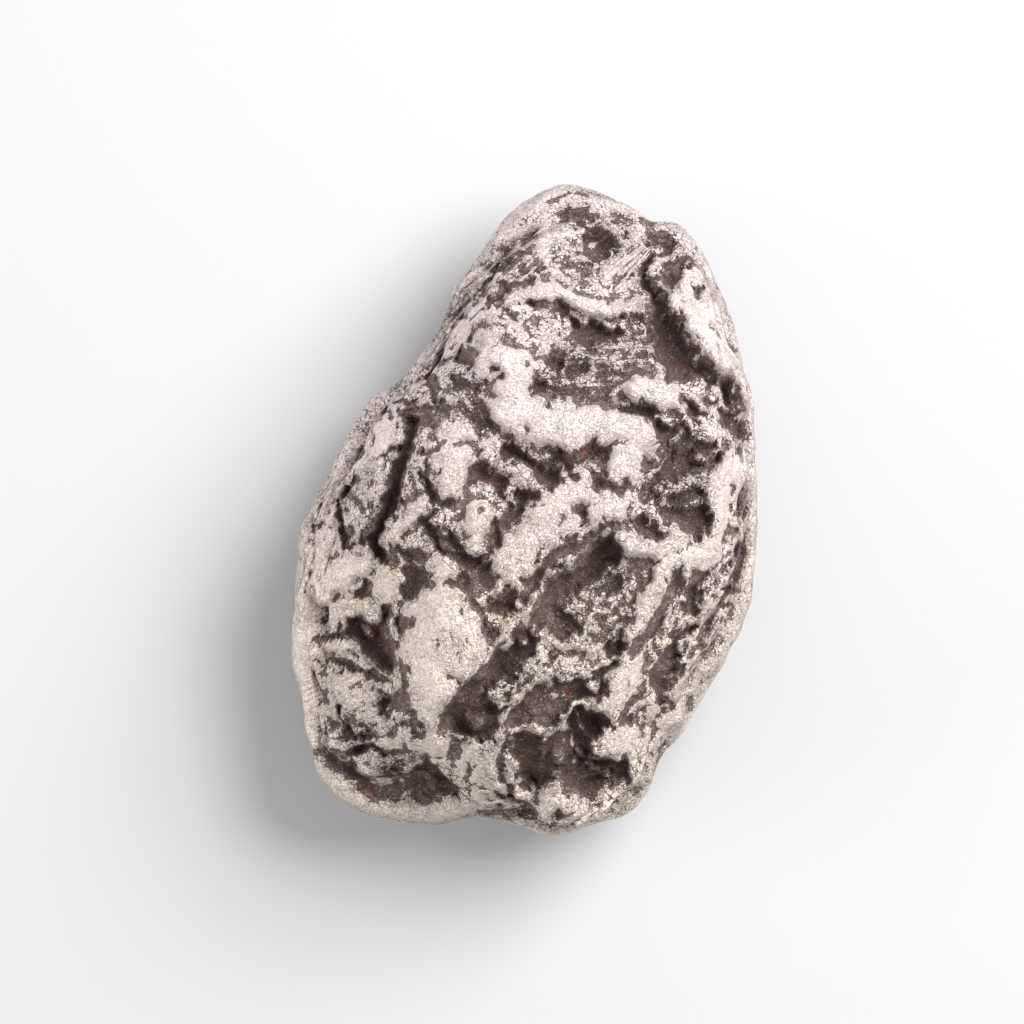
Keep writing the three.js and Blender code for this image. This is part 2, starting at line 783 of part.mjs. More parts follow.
const iron = new THREE.MeshStandardMaterial({
  color: 0x9c9490,
  metalness: 0.8,
  roughness: 0.5,
  flatShading: true,
});

const meteorite = new THREE.Mesh(cutRestingFace(fitToSize(makeStone())), iron);
meteorite.name = "meteorite";

const group = new THREE.Group();
group.add(meteorite);

export default group;
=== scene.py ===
import math

import bpy
import numpy as np
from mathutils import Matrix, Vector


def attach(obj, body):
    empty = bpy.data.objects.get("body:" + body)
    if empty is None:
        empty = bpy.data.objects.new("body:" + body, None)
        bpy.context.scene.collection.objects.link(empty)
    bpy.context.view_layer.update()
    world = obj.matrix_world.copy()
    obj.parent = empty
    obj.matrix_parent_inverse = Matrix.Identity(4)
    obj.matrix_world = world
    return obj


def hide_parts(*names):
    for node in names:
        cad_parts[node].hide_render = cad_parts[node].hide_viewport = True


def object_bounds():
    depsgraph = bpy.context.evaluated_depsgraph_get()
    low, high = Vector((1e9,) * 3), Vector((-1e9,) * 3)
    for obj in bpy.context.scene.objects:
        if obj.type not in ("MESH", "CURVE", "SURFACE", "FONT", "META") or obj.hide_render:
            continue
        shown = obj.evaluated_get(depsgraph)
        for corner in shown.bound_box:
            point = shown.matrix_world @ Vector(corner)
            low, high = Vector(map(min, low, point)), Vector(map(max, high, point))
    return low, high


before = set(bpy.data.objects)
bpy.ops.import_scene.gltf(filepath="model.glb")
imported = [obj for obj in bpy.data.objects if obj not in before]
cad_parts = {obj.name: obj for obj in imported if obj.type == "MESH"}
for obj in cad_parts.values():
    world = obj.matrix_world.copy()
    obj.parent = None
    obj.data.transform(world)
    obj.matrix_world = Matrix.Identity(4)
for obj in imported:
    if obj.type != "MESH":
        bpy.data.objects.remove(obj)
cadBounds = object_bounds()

# Noise and distances

noiseCells = 40    # the noise repeats after this many of its own cells


def noiseTable(seed):
    return np.random.default_rng(seed).random((noiseCells, noiseCells, noiseCells))


def smoothNoise(x, y, z, size, table):
    # value noise with soft cells, 0 to 1
    cells, shares = [], []
    for part in (x, y, z):
        low = np.floor(part / size)
        t = part / size - low
        cells.append(low.astype(int))
        shares.append(t * t * t * (t * (6 * t - 15) + 10))
    total = 0.0
    for corner in np.ndindex(2, 2, 2):
        weight = 1.0
        for share, far in zip(shares, corner):
            weight = weight * (share if far else 1 - share)
        i, j, k = ((cell + far) % noiseCells for cell, far in zip(cells, corner))
        total = total + weight * table[i, j, k]
    return total


def smoothStep(low, high, value):
    t = np.clip((value - low) / (high - low), 0, 1)
    return t * t * (3 - 2 * t)


def distanceToLine(points, x, y):
    if len(points) == 1:
        return np.hypot(x - points[0][0], y - points[0][1])
    best = np.full(x.shape, np.inf)
    for (ax, ay), (bx, by) in zip(points, points[1:]):
        length = (bx - ax) ** 2 + (by - ay) ** 2
        along = np.clip(((x - ax) * (bx - ax) + (y - ay) * (by - ay)) / length, 0, 1)
        best = np.minimum(best, np.hypot(x - ax - along * (bx - ax), y - ay - along * (by - ay)))
    return best


def distanceInside(points, x, y):
    # positive inside a closed outline, negative outside
    inside = np.zeros(x.shape, bool)
    for (ax, ay), (bx, by) in zip(points, points[1:] + points[:1]):
        if ay != by:
            inside ^= ((ay > y) != (by > y)) & (x < (bx - ax) * (y - ay) / (by - ay) + ax)
    distance = distanceToLine(points + points[:1], x, y)
    return np.where(inside, distance, -distance)


# The stone. All the shape work is in millimetres, and the tables hold places on the stone as seen from
# straight above, x to the right and y towards the narrow end.

stoneSettings = {
    # the plain body
    "crownHeight": 17.5,      # from the widest level up
    "bellyHeight": 12.0,      # from the widest level down
    "crownRoundness": 2.9,    # 2 is an ellipsoid, more is boxier
    "bellyRoundness": 2.8,
    "rimWaves": [(2, 0.7, 1.7), (3, 2.1, 1.3), (7, 0.0, 0.7)],   # of the widest level: count, start, height
    "edgeRound": 1.6,         # how softly the flat faces meet the body
    "restCut": 0.4,           # taken off the belly for the resting face
    "seed": 41,

    # the net of triangles
    "netSize": 99,            # each of the 20 net faces is this many triangles across
    "netRadii": (23, 32, 15),
    "upperShare": 0.30,       # moves the net towards the sculpted side
    "lean": 0.12,             # how far the relief leans outwards
    "sculptedFrom": (-2, 3),  # heights between which the relief of the sculpted side sets in
    "searchStart": 5.0, "searchStep": 0.2, "searchSteps": 85, "searchHalvings": 12,
    "rub": 0.85, "rubRounds": 8,         # how far the widest part is rubbed round
    "rubReach": (0.84, 0.93), "rubHeight": (4.5, 2.5), "rubLevel": 0.5,
    "uneven": [(1.7, 0.22), (0.85, 0.14), (0.55, 0.08)],   # size and height, all over
    "rimReach": (0.74, 0.94), "rimCalm": 0.5,   # where the rim begins, and how much of that it loses

    # relief of the sculpted side. Noise is given as its level in the table, its size and its strength.
    # A range has the value at which something begins and the one at which it is full.
    "cell": 0.1,              # spacing of the relief map
    "reach": (25.5, 35.0),
    "bends": [(2.6, 0.50), (1.0, 0.28), (0.45, 0.20)],   # size and strength of the bends in every edge
    "bendLevels": (3.3, 7.7),
    "massScale": 1.15,
    "leastWidth": 0.3, "widthNoise": [(5, 2.3, 0.9), (9, 1.1, 0.5)],   # how the masses vary in width
    "hollowScale": 1.15,
    "wall": 0.42,             # width of a hollow's wall
    "wallStart": -0.15,       # where the wall begins, outside the outline
    "bowlShare": 0.18, "bowlWalls": 3,   # share of the depth that comes slowly, over so many walls' width
    "crossingShare": 0.25,    # how much deeper it is where a cut crosses a hollow
    "rimRange": (0.2, 0.6),   # depths between which a hollow begins
    "biteDepth": 0.8, "biteReach": 0.8,  # of the small bites out of every hollow's rim
    "biteOuter": (0.04, 0.20), "biteInner": (0.75, 0.35),
    "biteNoise": [(13, 1.1, 0.65), (17, 0.5, 0.35)], "biteRange": (0.62, 0.72),
    "floorRange": (0.5, 1.4), "deepRange": (0.6, 2.2), "massRange": (0.3, 0.9), "crownRange": (0.7, 1.6),
    "floorLumps": 0.4, "floorNoise": [(11, 1.6, 1.0), (23, 0.7, 0.6)], "floorMean": 0.8,
    "bitHeight": 0.30, "bitNoise": [(41, 0.62, 1.0)], "bitRange": (0.64, 0.72),   # bright bits on the floors
    "fewestBits": 0.25, "bitPatches": [(43, 2.2, 1.0)], "bitPatchRange": (0.45, 0.70),
    "crumbNoise": [(31, 0.62, 0.6), (37, 0.34, 0.4)], "crumbRange": (0.42, 0.62), "crumbMean": 0.6,
    "grainEdge": (-0.5, 0.7), "lineEdge": (-0.4, 0.9), "cleanEdge": (-0.8, 1.4), "rustEdge": (1.3, 0.3),
    "lineHeight": 0.32, "lineMiddle": 0.56, "lineBend": (47, 3.0, 0.5), "lineAcross": (0.64, -0.77),
    "lineNoise": [(53, 0.55, 0.7, 0.08, 1), (59, 0.30, 0.3, 0.10, -1)],   # then how it runs along x and y
    "crinkles": [(83, 1.5, 0.30), (90, 0.8, 0.26), (97, 0.5, 0.16)],      # the fine folds
    "foldMiddle": 0.5, "foldSharpness": 2.2, "creaseGain": 0.5, "creaseRange": (-0.4, 0.8),
    "crinkleShare": {"everywhere": 0.10, "betweenMasses": 0.24, "crumbly": 0.4, "besideHollow": 0.65},
    "crinkleLoss": {"onFloors": 0.75, "whereClean": 1.8},
    "besideHollow": 1.3, "besideGain": 2.6,   # how far and how strongly hollows crinkle the skin beside them

    # patina of the sculpted side, with some painted light and shade in it: 0 is bare silver and 1 is dark
    # oxide
    "patinaStart": -0.03,
    "patinaInHollow": 0.95, "patinaDeep": 0.28, "patinaInFold": 0.36, "patinaInLine": 0.55,
    "patinaOnRidge": (-0.5, 0.25, 0.6),   # strength, and the height at which it begins and its longest rise
    # painted light: paler towards the west, standing in for light that the key lamp barely gives that side;
    # the rows also make the north paler and the east darker
    "patinaAndLightBySide": [("x", -8, -14, -0.09), ("y", 8, 13, -0.06), ("x", 10, 15, 0.05)],   # axis, range, change
    "speckleDark": (1.35, 0.65), "speckleOnMass": (0.6, 0.9), "crumblyGain": 2.2,
    "patinaCloud": 0.25, "cloudNoise": [(67, 4.5, 1.0), (71, 1.9, 0.7)], "cloudMean": 0.85,
    "hollowEdge": (0.16, 0.50), "hollowBlur": 0.25, "hollowFade": (0.12, 0.88),
    # patina and painted shade: the next three darken concave places and pale convex ones by how hollow they
    # are
    "patinaAndShadeFine": (3.4, -0.04, 0.09),   # for what is hollow within 2 net steps: strength and range
    "patinaAndShadeNear": (2.2, -0.10, 0.18),   # the same within 6 steps
    "patinaAndShadeWide": (0.3, -0.35, 0.40),   # the same within 50 steps
    "upperSlope": (0.10, 0.45), "upperFrom": (0, 2.5),      # what counts as the sculpted side
    "upperAlways": (3.0, 6.0), "upperInside": (1.0, 0.9),
    "brokenLoss": {"rim": 0.55, "north": 0.40, "crown": 0.35}, "northRange": (8, 13),

    # flanks and underside
    "printCount": 90, "printReach": 5.2, "printDepth": 1.9,      # thumbprints
    "printEdge": (0.82, 0.96),    # share of the way to the outline where they begin on the upper side
    "printShare": 0.8, "foldShare": 0.62,
    "restRadius": 9.0, "restFade": (-1.0, 5.0),   # the plain middle of the underside, and how it ends
    "rimKeep": 5.0, "rimLump": 0.28,   # height over which the relief comes back, and the folds' share there
    "folds": [(6.0, 1.3), (2.9, 0.9), (1.5, 0.45)],              # size and height
    "foldBend": (3.5, 1.6), "foldLevel": 0.62, "foldCrest": 1.6,
    "chips": (2.2, 1.1, 0.60, 0.70),                             # size, depth and range
    "below": {"patinaAndShading": 0.12, "cave": 1.1, "lineShare": 0.45, "crinkle": 0.45, "grain": 0.5},
    "belowCave": (-0.1, 0.5), "belowLines": (0.5, 0.4, 0.75), "belowGrain": (5.0, 0.45, 0.70),
}

# The stone's outline seen from above
outline = [
    (1.8, 32.0), (3.0, 32.3), (4.5, 32.6), (6.5, 32.2), (8.0, 31.4), (10.0, 30.6), (11.5, 29.6),
    (12.5, 28.6), (14.0, 29.2), (15.5, 28.5), (17.0, 26.8), (18.0, 25.0), (19.0, 22.8), (20.0, 20.0),
    (20.8, 17.0), (21.8, 13.5), (22.5, 11.0), (22.8, 8.0), (22.8, 5.0), (23.0, 1.0), (23.2, -1.5),
    (23.0, -5.0), (22.5, -8.5), (21.5, -11.5), (20.3, -14.0), (18.8, -17.0), (16.8, -20.0),
    (15.0, -22.5), (13.2, -25.0), (12.8, -26.5), (12.0, -28.5), (10.8, -29.9), (9.0, -30.8),
    (6.8, -31.2), (5.0, -32.2), (3.5, -32.5), (2.0, -32.7), (0.5, -31.7), (-1.5, -31.2), (-3.5, -30.6),
    (-5.5, -30.4), (-7.0, -30.7), (-8.5, -31.2), (-10.0, -31.3), (-12.0, -31.1), (-14.0, -30.8),
    (-16.0, -30.4), (-18.5, -29.6), (-19.8, -28.2), (-20.8, -26.0), (-21.7, -24.0), (-22.4, -21.5),
    (-23.0, -18.5), (-23.3, -14.0), (-23.1, -10.0), (-23.0, -6.5), (-22.8, -4.0), (-22.2, -1.5),
    (-21.2, 0.5), (-20.3, 2.3), (-19.2, 4.0), (-18.2, 6.5), (-17.0, 9.0), (-16.0, 10.8), (-14.8, 11.9),
    (-13.3, 12.4), (-12.3, 13.2), (-11.0, 14.9), (-9.5, 16.6), (-8.3, 18.4), (-7.8, 20.2), (-7.0, 22.5),
    (-6.2, 23.9), (-5.0, 25.0), (-4.0, 26.5), (-3.0, 28.0), (-2.0, 29.4), (-0.5, 30.6), (0.5, 31.2),
]

# Flat faces: the way each one faces in plan, its rise above level, and its distance from the middle
flatFaces = [
    (184, 50, 18.6), (255, 45, 25.2), (80, 50, 21.6), (145, 25, 17.6), (-5, 30, 21.6), (-32, 35, 21.0),
    (60, 84, 16.4), (205, -50, 18.6), (75, -50, 22.2), (-20, -45, 18.0), (280, -45, 25.4),
]

# Broad steps down: depth, wall width, outline
steps = {
    "westSlope": (1.6, 2.2, [(-26, -2), (-17.6, -3), (-14.2, -4.8), (-13.6, -9), (-13.1, -14), (-12.6, -18),
        (-11.6, -22.4), (-26, -24)]),
    "footShelf": (3.0, 1.6, [(-26, -24.2), (-19, -24.1), (-16.2, -23.4), (-12.4, -23.3), (-9.9, -24.2),
        (-7.4, -27.0), (-5, -29.8), (-3, -30.2), (-3, -36), (-26, -36)]),
    "eastValley": (1.2, 2.4, [(11.8, 26), (13.2, 21), (16.2, 16.6), (21.6, 11), (20.8, 3), (19.2, -3.6),
        (14.6, -12.4), (11.2, -14.6), (12, -6.4), (11, 1), (13.2, 7), (12.2, 14)]),
    "northWestFlank": (1.2, 2.4, [(-14, 14), (-8.4, 13.6), (-4, 18.6), (1.4, 23.8), (-1, 33), (-12, 30)]),
    "northFloor": (0.9, 1.2, [(0.4, 20.4), (7, 18.9), (12, 18.6), (12.4, 14), (9.4, 12.4), (8.6, 9.9),
        (2.6, 10), (0.4, 12.8), (0, 16.8)]),
    "grainPlateau": (0.7, 0.8, [(6.4, -4.6), (9.6, -4.4), (12.2, -5.2), (12, -8), (10.4, -12), (9.4, -14),
        (6.8, -14.8), (3.4, -13.8), (1.6, -12.2), (2.4, -9.6), (5, -7)]),
    "southFloor": (1.0, 0.9, [(-3.4, -15.2), (1, -12.8), (4, -13.6), (7.2, -14.6), (7.2, -19), (8, -22),
        (6.8, -24), (9.8, -25), (9.6, -27), (6, -28.8), (0, -27.2), (-1.6, -22.4), (-4.4, -22)]),
}

# Rounded masses: half width, height, line
masses = {
    "sRidge": (2.5, 1.9, [(-3.8, 16), (-2.5, 14.5), (-1.6, 13), (-1.5, 11), (-1, 9.5), (0.5, 9), (3, 8.3),
        (5, 7.8), (7, 8), (9, 8.2), (11, 8), (11.8, 7)]),
    "sRidgeEnd": (2.2, 1.7, [(10.5, 7.2), (9.4, 5), (8.6, 3.6)]),
    "heartNorth": (1.9, 1.5, [(6, 1.7), (3.2, 1.6)]),
    "heartPlateau": (2.6, 1.6, [(3, 0.6), (1.2, -1.8), (-0.6, -4), (-1.4, -6.4)]),
    "heartEast": (1.9, 1.2, [(4.2, -0.8), (3.2, -2.8), (1.4, -4.8)]),
    "eastKnob": (1.7, 1.5, [(8.3, 0.2), (7.2, -0.9)]),
    "knobArm": (0.9, 0.9, [(7, -1.2), (6.2, -2), (5.2, -2.7), (4.4, -3)]),
    "silverCrescent": (1.2, 1.8, [(8.3, -2.2), (9.5, -3), (11, -3.6), (12.5, -3.9), (14, -3.4),
        (14.8, -2.7)]),
    "crescentTail": (1.5, 1.4, [(14, -5), (13.2, -7), (12.5, -9), (11.3, -11), (10.8, -12.5), (10.2, -14)]),
    "greatSwelling": (3.4, 2.2, [(-7.8, -9.4), (-8.4, -12), (-9.3, -15), (-10.1, -18), (-10, -21.5)]),
    "swellingShoulder": (2.4, 1.7, [(-6.4, -11), (-5.4, -13.2), (-6.4, -14.4)]),
    "grooveCrest": (0.8, 1.1, [(7.5, -2.5), (6.3, -3.3), (5.3, -4.3), (4.8, -5.6), (3.3, -6.4), (2.2, -7.6),
        (1, -8.8), (0.2, -10), (-0.7, -11.3), (-1.8, -12.6), (-3, -13.8), (-4.2, -14.8)]),
    "middleKnob": (2.1, 1.9, [(-5, -1.2), (-4.9, -1.5)]),
    "northWestBoss": (2.4, 1.6, [(-7.3, 5), (-7.8, 2.8)]),
    "upperBoss": (1.9, 1.2, [(-7.3, 8.3), (-6.2, 7.6)]),
    "westLobe": (2.1, 1.9, [(-13.8, 8.2), (-14.4, 6.2)]),
    "leafFlap": (1.8, 1.3, [(-15.4, 3.6), (-15.8, 1), (-16.6, -1)]),
    "northEastKnob": (1.9, 1.7, [(11.2, 12.1), (13.4, 11.5)]),
    "earRidge": (1.7, 1.9, [(14.6, 19.8), (16.8, 19), (17.4, 17), (18.4, 15), (20, 12.9), (21.2, 11.2)]),
    "earCrest": (0.9, 1.1, [(13, 24.8), (12.9, 23.6), (13.6, 22.2), (13.8, 20.8)]),
    "crownBoss": (2.1, 1.2, [(9.3, 28.5), (10.6, 28.2)]),
    "northLip": (1.2, 1.4, [(-0.5, 20.8), (2, 21.3), (4.2, 21), (5.2, 20), (7.2, 20.2), (8.5, 19.8),
        (11, 19.6)]),
    "longRidge": (1.1, 1.3, [(-1.5, 22.6), (-4, 20.5), (-6.5, 18), (-8.5, 16.3), (-10.2, 14.8)]),
    "secondRidge": (0.9, 1.0, [(2.5, 21.8), (0.5, 21.5), (-1, 20.9), (-2.5, 20.2), (-4, 19)]),
    "eastRim": (1.4, 1.7, [(21, 6), (20, 4), (19.2, 2.5), (18.8, 0.5), (18.9, -1.5), (17.8, -3.8),
        (16.5, -4.8), (15.8, -5.5)]),
    "whiteMass": (1.9, 1.9, [(10, -15.2), (9.6, -17.2), (9.0, -19.8), (8.8, -22), (8.5, -23.4)]),
    "coneMass": (2.3, 1.7, [(-2.6, -21.8), (-4.6, -24), (-4, -26.4), (-3, -28.4)]),
    "footRim": (1.2, 1.3, [(-20, -26.8), (-17.5, -29.2), (-13.5, -29.9), (-10.6, -30.3), (-7.4, -29.4)]),
    "westBlock": (1.6, 1.3, [(-13.6, -6.2), (-13.5, -7.6)]),
    "westWedge": (1.4, 1.4, [(-13.2, -2.4), (-12, -1), (-10.6, 0.6)]),
    "lozenge": (1.5, 1.2, [(-8.8, -5.8), (-7.6, -6.4)]),
    "boulder": (1.8, 1.4, [(3.3, -28.5), (4.8, -28.7)]),
    "footLens": (1.4, 1.1, [(-15.8, -24.6), (-13.6, -25), (-11.6, -24.8)]),
    "flakeEdge": (1.3, 1.1, [(-20, -8), (-18.4, -6.6), (-16.4, -6.2)]),
    "foldRidge": (0.8, 1.1, [(-21, -14), (-19, -13.5), (-17.3, -13.2), (-16.5, -14), (-15.5, -15),
        (-14, -15.8)]),
    "westToe": (1.8, 0.9, [(-19.8, -18), (-16.4, -18.6), (-14.2, -21)]),
    "footCrest": (0.8, 0.9, [(-21, -23.3), (-18.3, -23.9), (-16.3, -23.1), (-13, -22.8), (-10.5, -23.2)]),
    "saddle": (2.2, 0.7, [(-0.6, -15.6), (0.8, -14.4)]),
    "farWest": (1.6, 0.8, [(-20.6, -1.5), (-21.4, -5.4), (-21.9, -10)]),
    "olivine": (1.5, 1.0, [(19.4, -9), (17.4, -13), (15.6, -16.4), (13.4, -20.6)]),
    "crownFold": (1.2, 0.9, [(1, 30), (3.4, 30.6), (6.4, 30.2)]),
    "fan": (1.3, 0.7, [(8.6, 23.6), (10.6, 25), (12, 26.4)]),
}

